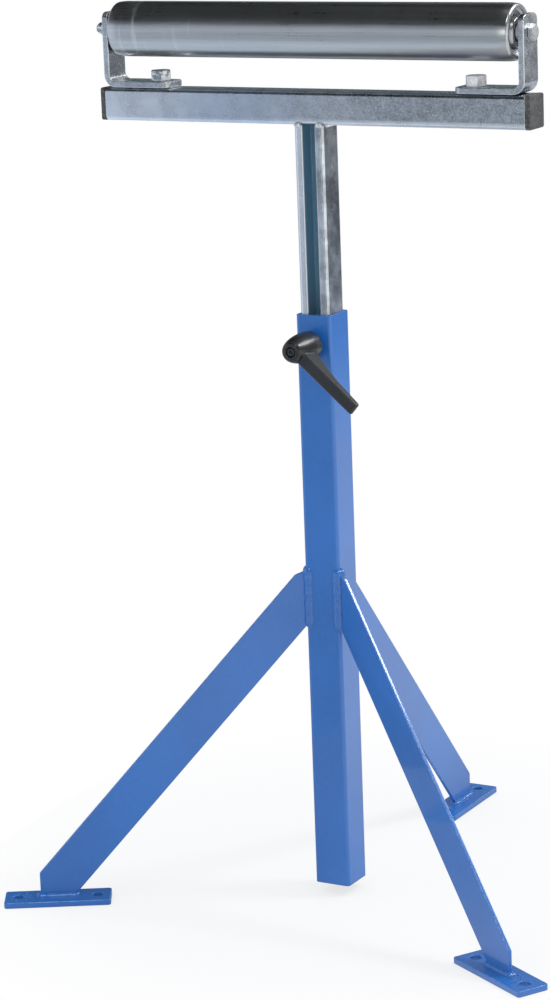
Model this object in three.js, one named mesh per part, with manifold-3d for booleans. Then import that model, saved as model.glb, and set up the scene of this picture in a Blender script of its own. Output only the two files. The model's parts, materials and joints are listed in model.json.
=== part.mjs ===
// A roller stand: a three-legged foot with a square post, a lipped channel that slides in the post
// and is held by a clamp lever, and a crossbar on the channel that carries one steel roller.
// Millimetres. X runs along the crossbar, the front is towards -Y, Z is up, the floor is Z = 0.
import * as THREE from 'three';
import { mergeVertices } from 'three/addons/utils/BufferGeometryUtils.js';
import Module from 'manifold-3d';

const wasm = await Module();
wasm.setup();

// Clearances
const touchGap = 0.3; // between pieces that touch
const slideGap = 0.5; // between the channel and the bore of the post
const boltPlay = 0.5; // round a bolt in its hole

// Hexagon heads
const hexFlat = 0.95; // width of the flat top as a share of the width across flats
const hexChamfer = THREE.MathUtils.degToRad(30);

// Post
const postWidth = 50;
const postWall = 4;
const postCornerRadius = 5;
const postLength = 756;
const postFloorGap = 14; // the post hangs clear of the floor between the legs

// Legs and foot plates
const legWidth = 55;
const legThickness = 5;
const legSlope = THREE.MathUtils.degToRad(48.2);
const legReach = 363; // from the post to the upright cut at the outer end
const legUprightCut = 32;
const legCornerReach = 14; // how far out the cropping of its upper inner corner starts
const legCornerDrop = 10; // how much the cropping lowers that corner
const legSetback = 3; // how far behind the post's front corner a front leg's middle plane lies
const frontLegAzimuth = THREE.MathUtils.degToRad(30); // below the X axis on either side
const plateLength = 140;
const plateWidth = 45;
const plateThickness = 8;
const plateCornerRadius = 4;
const plateHoleDiameter = 14;
const plateHoleSpacing = 104;
const postBeadRadius = 4.5;
const footBeadRadius = 3.5;

// Channel
const channelWall = 2.5;
const channelBend = 4.5; // outside radius of its bends
const channelSlot = 18.5; // between the turned-in lips
const channelLength = 700;
const channelShown = 238; // between the post's top and the crossbar, as photographed
const channelBeadRadius = 3;

// Crossbar and its caps
const barHeight = 41.5;
const barWall = 3;
const barCornerRadius = 6;
const capThickness = 6.5;
const capEdge = 1.2;
const capCornerRadius = 3.2;
const plugLength = 16;
const plugWall = 2.5;
const finCount = 3;
const finThickness = 1.6;
const finHeight = 1.8;

// Brackets
const bracketWidth = 40;
const bracketThickness = 8;
const bracketFlange = 95;
const bracketHeight = 95.5;
const bracketInnerBend = 8;
const bracketCornerRadius = 9;
const bracketBoltPlace = 73; // from the bracket's outer face
const axleHeight = 73.5; // above the crossbar

// Bracket bolts and nuts
const boltDiameter = 16;
const boltAcrossFlats = 24;
const boltHeadHeight = 13;
const boltNutHeight = 13;
const boltTail = 3;

// Roller, bearings and axle
const rollerDiameter = 70;
const rollerWall = 3;
const rollerLength = 560;
const rollerEndBend = 3.5; // outside radius of the rolled-in end
const rollerLip = 3; // inward reach of the lip past the bend
const bearingOuterDiameter = 32;
const bearingWidth = 10;
const bearingRing = 3; // radial thickness of each ring
const bearingRecess = 1; // behind the end of the roller
const sealThickness = 1;
const housingHubWall = 2.5;
const housingSkirt = 16;
const housingWall = 2.5;
const housingDish = 6; // depth of the ring-shaped hollow round the bearing
const axleDiameter = 12;
const axleAcrossFlats = 18;
const axleHeadHeight = 6.5;
const axleTail = 12; // past the left bracket, inside the cap nut
const spacerDiameter = 18;
const spacerLength = 7.4; // between a bearing and its bracket
const capNutHexHeight = 8;
const capNutDomeDiameter = 16;
const capNutLength = 19;

// Clamp lever
const leverDrop = 36.4; // below the post's top
const leverAngle = THREE.MathUtils.degToRad(-40);
const leverLength = 108;
const leverStandOff = 10; // from the post to the hub
const leverHubLength = 51;
const leverHubRadius = 19;
const leverHubEdge = 2; // round the base
const leverHubWaist = 0.3; // share of the hub's length that is straight
const leverHubSwell = 0.72; // share of the hub's length up to the fullest part of its flank
const leverNoseRadius = 12;
const leverNoseEdge = 2.5;
const leverArmRootWidth = 18.5;
const leverArmTipWidth = 16.5;
const leverArmRootDepth = 32;
const leverArmTipDepth = 8;
const leverArmWaist = 60; // along the arm to where its hollow rear edge flattens
const leverArmWaistDepth = 11.5;
const leverArmWaistRadius = 80;
const leverArmFront = 44; // from the hub's base to the front of the arm's tip
const leverArmFall = 2; // drop of the arm's front from its tip to its root
const leverArmEdge = 1.6;
const leverTipRadius = 2;
const bossAcrossFlats = 22;
const studDiameter = 12;
const insertRadius = 11.5;
const insertLength = 30;
const insertTeeth = 18;
const insertToothHeight = 1.1;
const screwDiameter = 6;
const screwHeadDiameter = 10;
const screwHeadHeight = 4;
const screwHeadRecess = 1;
const screwHeadPlay = 1.5; // round the head in its recess
const screwLength = 26;
const screwSocketAcross = 5;
const screwSocketDepth = 2.5;
const handleLift = 5; // how far the handle is pulled out to turn it on the insert

// Facets
const curveSteps = 3;
const roundSteps = 48;
const smallRoundSteps = 24;
const hubSteps = 40;
const flankSteps = 7;
const beadSteps = 8;
const beadCapSteps = 2;
const domeSteps = 5;
const rollerEndSteps = 4;
const plateCurveSteps = 6;

// Derived places
const postHalf = postWidth / 2;
const postTop = postFloorGap + postLength;
const boreHalf = postHalf - postWall;
const channelWidth = 2 * (boreHalf - slideGap);
const channelHalf = channelWidth / 2;
const barUnderside = postTop + channelShown;
const barTop = barUnderside + barHeight;
const axleZ = barTop + axleHeight;
const rollerRadius = rollerDiameter / 2;
const rollerHalf = rollerLength / 2;
const bearingEnd = rollerHalf - bearingRecess;
const bearingStart = bearingEnd - bearingWidth;
const spacerInner = bearingEnd + touchGap;
const spacerOuter = spacerInner + spacerLength;
const bracketFace = spacerOuter + touchGap + bracketThickness;
const barLength = 2 * bracketFace; // the tube ends flush with the brackets' outer faces
const leverZ = postTop - leverDrop;
const plateTop = plateThickness + touchGap;

// Booleans
function solidOf(geometry) {
  const bare = geometry.clone();
  bare.deleteAttribute('normal');
  bare.deleteAttribute('uv');
  const merged = mergeVertices(bare, 1e-4);
  const corners = merged.index.array;
  const kept = [];
  for (let first = 0; first < corners.length; first += 3) {
    const [a, b, c] = corners.slice(first, first + 3);
    if (a !== b && b !== c && c !== a) {
      kept.push(a, b, c);
    }
  }
  const vertProperties = Float32Array.from(merged.attributes.position.array);
  return new wasm.Manifold(new wasm.Mesh({ numProp: 3, vertProperties, triVerts: Uint32Array.from(kept) }));
}

function geometryOf(solid) {
  const mesh = solid.getMesh();
  const geometry = new THREE.BufferGeometry();
  geometry.setAttribute('position', new THREE.BufferAttribute(Float32Array.from(mesh.vertProperties), 3));
  geometry.setIndex(new THREE.BufferAttribute(Uint32Array.from(mesh.triVerts), 1));
  geometry.computeVertexNormals();
  return geometry;
}

function join(...geometries) {
  return geometryOf(geometries.map(solidOf).reduce((sum, next) => sum.add(next)));
}

function cut(base, ...tools) {
  return geometryOf(tools.map(solidOf).reduce((rest, tool) => rest.subtract(tool), solidOf(base)));
}

function common(...geometries) {
  return geometryOf(geometries.map(solidOf).reduce((shared, next) => shared.intersect(next)));
}

// Outlines
// A closed outline through corners [x, y, radius], each rounded by its own radius.
function roundedOutline(corners, path = new THREE.Shape()) {
  const points = corners.map(([x, y]) => new THREE.Vector2(x, y));
  corners.forEach(([, , radius], index) => {
    const corner = points[index];
    const back = points.at(index - 1).clone().sub(corner).normalize();
    const ahead = points[(index + 1) % points.length].clone().sub(corner).normalize();
    const halfAngle = Math.acos(THREE.MathUtils.clamp(back.dot(ahead), -1, 1)) / 2;
    const start = corner.clone().addScaledVector(back, radius / Math.tan(halfAngle));
    const end = corner.clone().addScaledVector(ahead, radius / Math.tan(halfAngle));
    if (index === 0) {
      path.moveTo(start.x, start.y);
    } else {
      path.lineTo(start.x, start.y);
    }
    if (radius > 0) {
      const middle = back.clone().add(ahead).normalize();
      const centre = corner.clone().addScaledVector(middle, radius / Math.sin(halfAngle));
      const from = start.sub(centre).angle();
      const to = end.sub(centre).angle();
      path.absarc(centre.x, centre.y, radius, from, to, back.cross(ahead) > 0);
    }
  });
  path.closePath();
  return path;
}

function roundedRectangle(width, height, radius, path = new THREE.Shape()) {
  const [x, y] = [width / 2, height / 2];
  return roundedOutline([[-x, -y, radius], [x, -y, radius], [x, y, radius], [-x, y, radius]], path);
}

function circle(x, y, radius) {
  return new THREE.Path().absarc(x, y, radius, 0, 2 * Math.PI, false);
}

const mirrored = (corners) => corners.map(([x, y, radius]) => [-x, y, radius]).reverse();

// Solids
function extruded(shape, depth, options = {}) {
  const usual = { depth, bevelEnabled: false, curveSegments: curveSteps };
  return new THREE.ExtrudeGeometry(shape, { ...usual, ...options });
}

// A solid turned about the X axis from [place along X, radius] pairs.
function turned(profile, steps = smallRoundSteps) {
  const points = profile.map(([along, radius]) => new THREE.Vector2(radius, along));
  return new THREE.LatheGeometry(points, steps).rotateZ(-Math.PI / 2);
}

// A ring or sleeve about the X axis between two places, with a square section.
function ring(from, to, inner, outer, steps = smallRoundSteps) {
  return turned([[from, inner], [from, outer], [to, outer], [to, inner], [from, inner]], steps);
}

function rod(from, to, radius, steps = smallRoundSteps) {
  return turned([[from, 0], [from, radius], [to, radius], [to, 0]], steps);
}

// A hexagonal prism about the X axis with corners up and down.
function hexagon(from, to, acrossFlats) {
  const reach = acrossFlats / Math.sqrt(3);
  const prism = new THREE.CylinderGeometry(reach, reach, to - from, 6);
  return prism.rotateZ(-Math.PI / 2).translate((from + to) / 2, 0, 0);
}

// A hexagon whose far end has the usual turned chamfer.
function hexHead(from, to, acrossFlats) {
  const outer = acrossFlats / Math.sqrt(3) + touchGap;
  const flat = (hexFlat * acrossFlats) / 2;
  const edge = (outer - flat) * Math.tan(hexChamfer);
  const chamfer = turned([[from, 0], [from, outer], [to - edge, outer], [to, flat], [to, 0]]);
  return common(hexagon(from, to, acrossFlats), chamfer);
}

// A weld bead with round ends, from one point to another.
function bead(from, to, radius) {
  const along = to.clone().sub(from);
  const middle = from.clone().add(to).divideScalar(2);
  const turn = new THREE.Quaternion().setFromUnitVectors(point(0, 1, 0), along.clone().normalize());
  const capsule = new THREE.CapsuleGeometry(radius, along.length(), beadCapSteps, beadSteps);
  return capsule.applyQuaternion(turn).translate(middle.x, middle.y, middle.z);
}

const standing = (geometry) => geometry.rotateY(-Math.PI / 2); // from along X to along Z
const point = (x, y, z) => new THREE.Vector3(x, y, z);

// Materials
function finish(color, roughness, metalness) {
  return () => new THREE.MeshStandardMaterial({ color, roughness, metalness });
}

const bluePaint = finish(0x4271b5, 0.35, 0);
const zinc = finish(0xa4adb8, 0.4, 0.9);
const rollerSteel = finish(0x969da3, 0.32, 1);
const bearingSteel = finish(0xb9bcc0, 0.2, 1);
const blackPlastic = finish(0x2c2d30, 0.6, 0);
const blackCasting = finish(0x26282b, 0.5, 0.1);
const blackSteel = finish(0x33363a, 0.4, 0.8);

function piece(group, name, geometry, material) {
  const mesh = new THREE.Mesh(geometry, material);
  mesh.name = name;
  group.add(mesh);
  return mesh;
}

// Foot
function postGeometry() {
  const section = roundedRectangle(postWidth, postWidth, postCornerRadius);
  const innerRadius = Math.max(postCornerRadius - postWall, 1);
  section.holes.push(roundedRectangle(2 * boreHalf, 2 * boreHalf, innerRadius, new THREE.Path()));
  const tube = extruded(section, postLength).translate(0, 0, postFloorGap);
  const studHole = rod(-postWidth, 0, studDiameter / 2 + boltPlay).rotateZ(Math.PI / 2);
  return cut(tube, studHole.translate(0, 0, leverZ));
}

// The leg's side view: X outwards from its inner end, Y up. Its two long edges are parallel,
// its outer lower corner is cut upright and its upper inner corner is cropped.
const legRise = Math.tan(legSlope);
const legTopAtPost = plateTop + legUprightCut + legReach * legRise;
const legLowAtPost = legTopAtPost - legWidth / Math.cos(legSlope);
const legCornerAtPost = legTopAtPost - legCornerDrop;
const legToe = (legLowAtPost - plateTop) / legRise; // inner end of the leg's foot
const plateCentre = (legToe + legReach) / 2;

// A leg along +X, in the post's frame turned to the leg's azimuth. inner is where its end meets the
// post and offset is how far its middle plane passes beside the post's axis.
function legGeometry(azimuth, inner, offset) {
  const outline = roundedOutline([
    [0, legLowAtPost, 0],
    [legToe, plateTop, 0],
    [legReach, plateTop, 0],
    [legReach, plateTop + legUprightCut, 1],
    [legCornerReach, legTopAtPost - legCornerReach * legRise, 0],
    [0, legCornerAtPost, 0],
  ]);
  const sides = [offset - legThickness / 2, offset + legThickness / 2];
  const flat = extruded(outline, legThickness).rotateX(Math.PI / 2).translate(inner, sides[1], 0);
  const beads = sides.flatMap((side) => [
    bead(point(inner, side, legLowAtPost), point(inner, side, legCornerAtPost), postBeadRadius),
    bead(point(inner + legToe, side, plateTop), point(inner + legReach, side, plateTop), footBeadRadius),
  ]);
  const corners = sides.map((side) => point(inner, side, legCornerAtPost));
  const topBead = bead(corners[0], corners[1], postBeadRadius);
  const grown = postWidth + 2 * touchGap;
  const section = roundedRectangle(grown, grown, postCornerRadius + touchGap);
  const post = extruded(section, postTop).rotateZ(-azimuth);
  const plate = new THREE.BoxGeometry(4 * legReach, 4 * plateWidth, 2 * plateTop);
  return cut(join(flat, ...beads, topBead), post, plate);
}

function footPlateGeometry() {
  const outline = roundedRectangle(plateLength, plateWidth, plateCornerRadius);
  outline.holes.push(circle(plateHoleSpacing / 2, 0, plateHoleDiameter / 2));
  outline.holes.push(circle(-plateHoleSpacing / 2, 0, plateHoleDiameter / 2));
  return extruded(outline, plateThickness, { curveSegments: plateCurveSteps });
}

function addLeg(foot, side, azimuth, inner, offset) {
  const leg = new THREE.Group();
  leg.rotation.z = azimuth;
  foot.add(leg);
  piece(leg, `leg_${side}`, legGeometry(azimuth, inner, offset), bluePaint());
  const plate = piece(leg, `foot_plate_${side}`, footPlateGeometry(), bluePaint());
  plate.position.set(inner + plateCentre, offset, 0);
}

function buildFoot() {
  const foot = new THREE.Group();
  piece(foot, 'post_tube', postGeometry(), bluePaint());
  // A front leg points at the centre of the post's corner arc, set back a little towards the rear.
  const arcCentre = postHalf - postCornerRadius;
  const towards = Math.cos(frontLegAzimuth) + Math.sin(frontLegAzimuth);
  const frontInner = arcCentre * towards + postCornerRadius + touchGap;
  const beside = postHalf * (Math.cos(frontLegAzimuth) - Math.sin(frontLegAzimuth)) - legSetback;
  addLeg(foot, 'front_left', Math.PI + frontLegAzimuth, frontInner, beside);
  addLeg(foot, 'front_right', -frontLegAzimuth, frontInner, -beside);
  addLeg(foot, 'rear', Math.PI / 2, postHalf + touchGap, 0);
  return foot;
}

// Mast
function channelGeometry() {
  const front = -channelHalf;
  const slot = channelSlot / 2;
  const inside = channelHalf - channelWall;
  const innerBend = channelBend - channelWall;
  const outerWalk = [
    [slot, front, 0],
    [channelHalf, front, channelBend],
    [channelHalf, channelHalf, channelBend],
  ];
  const innerWalk = [
    [inside, inside, innerBend],
    [inside, -inside, innerBend],
    [slot, -inside, 0],
  ];
  const outline = [...outerWalk, ...mirrored(outerWalk), ...mirrored(innerWalk), ...innerWalk];
  const top = barUnderside - touchGap;
  const profile = extruded(roundedOutline(outline), channelLength).translate(0, 0, top - channelLength);
  const lipMiddle = (slot + channelHalf) / 2;
  const beads = [-1, 1].flatMap((side) => {
    const flank = [-1, 1].map((end) => point(side * channelHalf, (end * inside) / 2, top));
    const lip = [slot + channelWall, lipMiddle].map((across) => point(side * across, front, top));
    return [bead(...flank, channelBeadRadius), bead(...lip, channelBeadRadius)];
  });
  const bar = new THREE.BoxGeometry(barLength, 2 * barHeight, barHeight);
  return cut(join(profile, ...beads), bar.translate(0, 0, top + barHeight / 2));
}

const barBore = barHeight - 2 * barWall;
const barBoreRadius = barCornerRadius - barWall;

function crossbarGeometry() {
  const section = roundedRectangle(barHeight, barHeight, barCornerRadius);
  section.holes.push(roundedRectangle(barBore, barBore, barBoreRadius, new THREE.Path()));
  const tube = extruded(section, barLength).translate(0, 0, -barLength / 2).rotateY(Math.PI / 2);
  const holes = [-1, 1].map((side) => {
    const drill = standing(rod(0, barHeight, boltDiameter / 2 + boltPlay));
    return drill.translate(side * (bracketFace - bracketBoltPlace), 0, 0);
  });
  return cut(tube, ...holes).translate(0, 0, barUnderside + barHeight / 2);
}

// A cap for the right end, along +X from the tube's end, with its ribbed plug inside the tube.
function capGeometry() {
  const rim = barHeight - 2 * capEdge;
  const bevel = { bevelEnabled: true, bevelThickness: capEdge, bevelSize: capEdge, bevelSegments: 2 };
  const rimShape = roundedRectangle(rim, rim, capCornerRadius - capEdge);
  const cover = extruded(rimShape, capThickness - capEdge, bevel);
  const flush = new THREE.BoxGeometry(2 * barHeight, 2 * barHeight, capThickness);
  const face = common(cover, flush.translate(0, 0, capThickness / 2 + touchGap)).rotateY(Math.PI / 2);
  const finWidth = barBore - 2 * touchGap;
  const plugWidth = finWidth - 2 * finHeight;
  const wall = roundedRectangle(plugWidth, plugWidth, 0);
  const hollow = plugWidth - 2 * plugWall;
  wall.holes.push(roundedRectangle(hollow, hollow, 0, new THREE.Path()));
  const plug = extruded(wall, plugLength + 2 * touchGap).rotateY(Math.PI / 2).translate(-plugLength, 0, 0);
  const pitch = plugLength / (finCount + 1);
  const fins = Array.from({ length: finCount }, (unused, index) => {
    const fin = roundedRectangle(finWidth, finWidth, barBoreRadius);
    fin.holes.push(roundedRectangle(hollow, hollow, 0, new THREE.Path()));
    const plate = extruded(fin, finThickness, { curveSegments: 1 }).rotateY(Math.PI / 2);
    return plate.translate(-plugLength + (index + 0.5) * pitch, 0, 0);
  });
  return join(face, plug, ...fins);
}

// A right-hand bracket: X inwards from its outer face, Z up from the crossbar.
function bracketGeometry() {
  const outerBend = bracketInnerBend + bracketThickness;
  const side = roundedOutline([
    [0, 0, outerBend],
    [bracketFlange, 0, 0],
    [bracketFlange, bracketThickness, 0],
    [bracketThickness, bracketThickness, bracketInnerBend],
    [bracketThickness, bracketHeight, 0],
    [0, bracketHeight, 0],
  ]);
  const strip = extruded(side, bracketWidth).rotateX(Math.PI / 2).translate(0, bracketWidth / 2, 0);
  const half = bracketWidth / 2;
  const round = bracketCornerRadius;
  const flange = roundedOutline([
    [0, -half, 0],
    [bracketFlange, -half, round],
    [bracketFlange, half, round],
    [0, half, 0],
  ]);
  const upright = roundedOutline([
    [0, -half, 0],
    [0, half, 0],
    [-bracketHeight, half, round],
    [-bracketHeight, -half, round],
  ]);
  const plan = extruded(flange, bracketHeight);
  const endView = extruded(upright, bracketFlange).rotateY(Math.PI / 2);
  const boltHole = standing(rod(0, bracketHeight, boltDiameter / 2 + boltPlay));
  const axleHole = rod(-bracketWidth, bracketWidth, axleDiameter / 2 + touchGap);
  boltHole.translate(bracketBoltPlace, 0, 0);
  axleHole.translate(0, 0, axleHeight - touchGap); // the bracket itself stands on that gap
  return cut(common(strip, plan, endView), boltHole, axleHole);
}

const boltSeat = bracketThickness + touchGap; // from the bracket's underside to the bolt head
const boltNutTop = -barWall - 2 * touchGap;
const boltEnd = boltNutTop - boltNutHeight - boltTail;

function bracketBoltGeometry() {
  const shank = rod(boltEnd, boltSeat + touchGap, boltDiameter / 2);
  return standing(join(shank, hexHead(boltSeat, boltSeat + boltHeadHeight, boltAcrossFlats)));
}

function bracketNutGeometry() {
  const body = hexagon(boltNutTop - boltNutHeight, boltNutTop, boltAcrossFlats);
  return standing(cut(body, rod(boltEnd, 0, boltDiameter / 2 + touchGap)));
}

function axleGeometry() {
  const seat = bracketFace + touchGap;
  const shank = rod(-bracketFace - axleTail, seat + touchGap, axleDiameter / 2);
  return join(shank, hexHead(seat, seat + axleHeadHeight, axleAcrossFlats));
}

// The cap nut, along +X from the bracket's face, turned round for the left end.
function capNutGeometry() {
  const dome = capNutDomeDiameter / 2;
  const straight = capNutLength - dome;
  const profile = [[0, 0], [0, dome], ...arc([straight, 0], dome, 0, Math.PI / 2, domeSteps)];
  const blank = join(turned(profile), hexHead(0, capNutHexHeight, axleAcrossFlats));
  return cut(blank, rod(-touchGap, axleTail + touchGap, axleDiameter / 2 + touchGap));
}

// Both sides: side is +1 on the right and -1 on the left.
function addMirrored(group, name, make, material, place) {
  for (const [word, side] of [['left', -1], ['right', 1]]) {
    const mesh = piece(group, `${name}_${word}`, make(), material());
    mesh.position.set(side * place[0], 0, place[1]);
    mesh.rotation.z = side > 0 ? 0 : Math.PI;
  }
}

function buildMast() {
  const mast = new THREE.Group();
  piece(mast, 'mast_channel', channelGeometry(), zinc());
  piece(mast, 'crossbar', crossbarGeometry(), zinc());
  const seat = barTop + touchGap;
  const boltX = bracketFace - bracketBoltPlace;
  addMirrored(mast, 'end_cap', capGeometry, blackPlastic, [barLength / 2, barTop - barHeight / 2]);
  addMirrored(mast, 'bracket', () => bracketGeometry().rotateZ(Math.PI), zinc, [bracketFace, seat]);
  addMirrored(mast, 'bracket_bolt', bracketBoltGeometry, zinc, [boltX, seat]);
  addMirrored(mast, 'bracket_nut', bracketNutGeometry, zinc, [boltX, seat]);
  piece(mast, 'axle_bolt', axleGeometry(), zinc()).position.z = axleZ;
  const capNut = piece(mast, 'axle_cap_nut', capNutGeometry(), zinc());
  capNut.position.set(-bracketFace - touchGap, 0, axleZ);
  capNut.rotation.z = Math.PI;
  const bore = axleDiameter / 2 + touchGap;
  const spacer = () => ring(spacerInner, spacerOuter, bore, spacerDiameter / 2);
  const inner = () => ring(bearingStart, bearingEnd, bore, bore + bearingRing);
  addMirrored(mast, 'axle_spacer', spacer, zinc, [0, axleZ]);
  addMirrored(mast, 'bearing_inner_ring', inner, bearingSteel, [0, axleZ]);
  return mast;
}

// Roller
const bearingOuter = bearingOuterDiameter / 2;

function arc(centre, radius, from, to, steps) {
  return Array.from({ length: steps + 1 }, (unused, index) => {
    const angle = from + ((to - from) * index) / steps;
    return [centre[0] + radius * Math.sin(angle), centre[1] + radius * Math.cos(angle)];
  });
}

function rollerTubeGeometry() {
  const bend = [rollerHalf - rollerEndBend, rollerRadius - rollerEndBend];
  const lip = bend[1] - rollerLip;
  const outer = arc(bend, rollerEndBend, 0, Math.PI / 2, rollerEndSteps);
  const inner = arc(bend, rollerEndBend - rollerWall, Math.PI / 2, 0, rollerEndSteps / 2);
  const right = [...outer, [rollerHalf, lip], [rollerHalf - rollerWall, lip], ...inner];
  const left = right.map(([along, radius]) => [-along, radius]).reverse();
  return turned([...right, ...left, right[0]], roundSteps);
}

// A pressed housing for the right end: a skirt in the tube, a dished web and a hub for the bearing.
function housingGeometry() {
  const skirt = rollerRadius - rollerWall - touchGap;
  const shoulder = rollerHalf - rollerEndBend - touchGap;
  const seat = bearingOuter + touchGap;
  const hub = seat + housingHubWall;
  const dishFloor = rollerHalf - housingDish;
  const stop = bearingStart - touchGap;
  const stopRadius = bearingOuter - bearingRing;
  const rear = shoulder - housingSkirt;
  return turned([
    [rear, skirt],
    [shoulder, skirt],
    [shoulder, skirt - housingWall],
    [dishFloor, skirt - 2 * housingWall],
    [dishFloor, hub + housingWall],
    [rollerHalf - bearingRecess, hub],
    [rollerHalf, hub - housingHubWall / 3],
    [rollerHalf, seat],
    [stop, seat],
    [stop, stopRadius],
    [stop - housingWall, stopRadius],
    [stop - housingWall, hub],
    [dishFloor - housingWall, hub + housingWall],
    [dishFloor - housingWall, skirt - housingWall],
    [rear, skirt - housingWall],
    [rear, skirt],
  ], roundSteps);
}

function buildRoller() {
  const roller = new THREE.Group();
  roller.position.z = axleZ;
  piece(roller, 'roller_tube', rollerTubeGeometry(), rollerSteel());
  const race = bearingOuter - bearingRing;
  const sealInner = axleDiameter / 2 + bearingRing + 2 * touchGap;
  const outerRing = () => ring(bearingStart, bearingEnd, race, bearingOuter);
  const sealEnd = bearingEnd - sealThickness / 2;
  const seal = () => ring(sealEnd - sealThickness, sealEnd, sealInner, race - touchGap);
  addMirrored(roller, 'bearing_housing', housingGeometry, zinc, [0, 0]);
  addMirrored(roller, 'bearing_outer_ring', outerRing, bearingSteel, [0, 0]);
  addMirrored(roller, 'bearing_seal', seal, blackPlastic, [0, 0]);
  return roller;
}

// Clamp: Z points out of the post's front face, X to the right and Y up.
function toothedOutline(radius) {
  const outline = new THREE.Shape();
  for (let step = 0; step < 2 * insertTeeth; step += 1) {
    const reach = radius - (step % 2) * insertToothHeight;
    const angle = (step * Math.PI) / insertTeeth;
    const [x, y] = [reach * Math.cos(angle), reach * Math.sin(angle)];
    if (step === 0) {
      outline.moveTo(x, y);
    } else {
      outline.lineTo(x, y);
    }
  }
  outline.closePath();
  return outline;
}

// Turned about Z.
const turnedOut = (profile, steps) => standing(turned(profile, steps));
const rodOut = (from, to, radius) => standing(rod(from, to, radius));
const leverBase = leverStandOff;
const leverNose = leverStandOff + leverHubLength;
const screwHeadFront = leverNose - screwHeadRecess;
const screwSeat = screwHeadFront - screwHeadHeight;
const webFront = screwSeat - handleLift - 2 * touchGap;

// The hub swells a little from its base and closes in a rounded nose.
function hubGeometry() {
  const flank = new THREE.QuadraticBezierCurve(
    new THREE.Vector2(leverBase + leverHubWaist * leverHubLength, leverHubRadius),
    new THREE.Vector2(leverBase + leverHubSwell * leverHubLength, leverHubRadius - leverHubEdge / 2),
    new THREE.Vector2(leverNose - leverNoseEdge, leverNoseRadius + leverNoseEdge / 2),
  );
  const side = flank.getPoints(flankSteps).map((place) => [place.x, place.y]);
  return turnedOut([
    [leverBase, 0],
    [leverBase, leverHubRadius - leverHubEdge],
    [leverBase + leverHubEdge, leverHubRadius],
    ...side,
    [leverNose - leverNoseEdge / 3, leverNoseRadius],
    [leverNose, leverNoseRadius - leverNoseEdge],
    [leverNose, 0],
  ], hubSteps);
}

// The arm's side view, X along the arm and Y outwards. It thins towards the tip in both views, and
// its rear edge is hollow.
function armGeometry() {
  const inset = leverArmEdge;
  const tip = leverLength - inset;
  const tipFront = leverBase + leverArmFront;
  const rootFront = tipFront - leverArmFall;
  const waistFront = THREE.MathUtils.lerp(rootFront, tipFront, leverArmWaist / leverLength);
  const outline = roundedOutline([
    [inset, rootFront - leverArmRootDepth + inset, 0],
    [leverArmWaist, waistFront - leverArmWaistDepth + inset, leverArmWaistRadius],
    [tip, tipFront - leverArmTipDepth + inset, leverTipRadius],
    [tip, tipFront - inset, leverTipRadius],
    [inset, rootFront - inset, 0],
  ]);
  const bevel = { bevelEnabled: true, bevelThickness: inset, bevelSize: inset, bevelSegments: 2 };
  const depth = leverArmRootWidth - 2 * inset;
  const arm = extruded(outline, depth, bevel).translate(0, 0, -depth / 2);
  const places = arm.attributes.position;
  for (let index = 0; index < places.count; index += 1) {
    const along = THREE.MathUtils.clamp(places.getX(index) / leverLength, 0, 1);
    const width = THREE.MathUtils.lerp(leverArmRootWidth, leverArmTipWidth, along);
    places.setZ(index, (places.getZ(index) * width) / leverArmRootWidth);
  }
  return arm.rotateX(Math.PI / 2);
}

function handleGeometry() {
  const socketRadius = insertRadius + 2 * touchGap;
  const socketDepth = insertLength + 2 * touchGap;
  const socket = extruded(toothedOutline(socketRadius), socketDepth).translate(0, 0, leverBase - touchGap);
  const screwHole = rodOut(leverBase, leverNose, screwDiameter / 2 + boltPlay);
  const recess = rodOut(webFront, leverNose + touchGap, screwHeadDiameter / 2 + screwHeadPlay);
  return cut(join(hubGeometry(), armGeometry()), socket, screwHole, recess);
}

function studGeometry() {
  const tip = -postWall - slideGap - channelWidth + channelWall + touchGap;
  const insert = extruded(toothedOutline(insertRadius), insertLength - touchGap);
  insert.translate(0, 0, leverBase + touchGap);
  const shank = rodOut(tip, leverBase + insertLength / 2, studDiameter / 2);
  const thread = rodOut(screwHeadFront - screwLength - touchGap, leverNose, screwDiameter / 2 + touchGap);
  return cut(join(insert, shank), thread);
}

function screwGeometry() {
  const shank = rodOut(screwHeadFront - screwLength, screwSeat + touchGap, screwDiameter / 2);
  const head = rodOut(screwSeat, screwHeadFront, screwHeadDiameter / 2);
  const socket = standing(hexagon(screwHeadFront - screwSocketDepth, leverNose, screwSocketAcross));
  return cut(join(shank, head), socket);
}

function bossGeometry() {
  const body = standing(hexagon(touchGap, leverStandOff - touchGap, bossAcrossFlats));
  return cut(body, rodOut(0, leverStandOff, studDiameter / 2 + touchGap));
}

function buildClamp() {
  const clamp = new THREE.Group();
  clamp.position.set(0, -postHalf, leverZ);
  clamp.rotation.x = Math.PI / 2;
  piece(clamp, 'clamp_boss', bossGeometry(), bluePaint());
  const lever = new THREE.Group();
  lever.rotation.z = leverAngle;
  clamp.add(lever);
  piece(lever, 'clamp_stud', studGeometry(), zinc());
  piece(lever, 'lever_handle', handleGeometry(), blackCasting());
  piece(lever, 'lever_screw', screwGeometry(), blackSteel());
  return clamp;
}

// The stand is placed with the middle of its footprint over the origin.
const rollerStand = new THREE.Group();
rollerStand.add(buildFoot(), buildMast(), buildRoller(), buildClamp());
rollerStand.updateMatrixWorld(true);
const footprint = new THREE.Box3().setFromObject(rollerStand, true).getCenter(new THREE.Vector3());
rollerStand.position.y = -footprint.y;

export default rollerStand;
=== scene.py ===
"""The looks of the roller stand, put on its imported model: rounded edges, welds, finishes, stage."""
import json
import math
import random

import bmesh
import bpy
from bpy.props import FloatProperty, FloatVectorProperty, IntProperty, PointerProperty
from mathutils import Matrix, Vector


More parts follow.
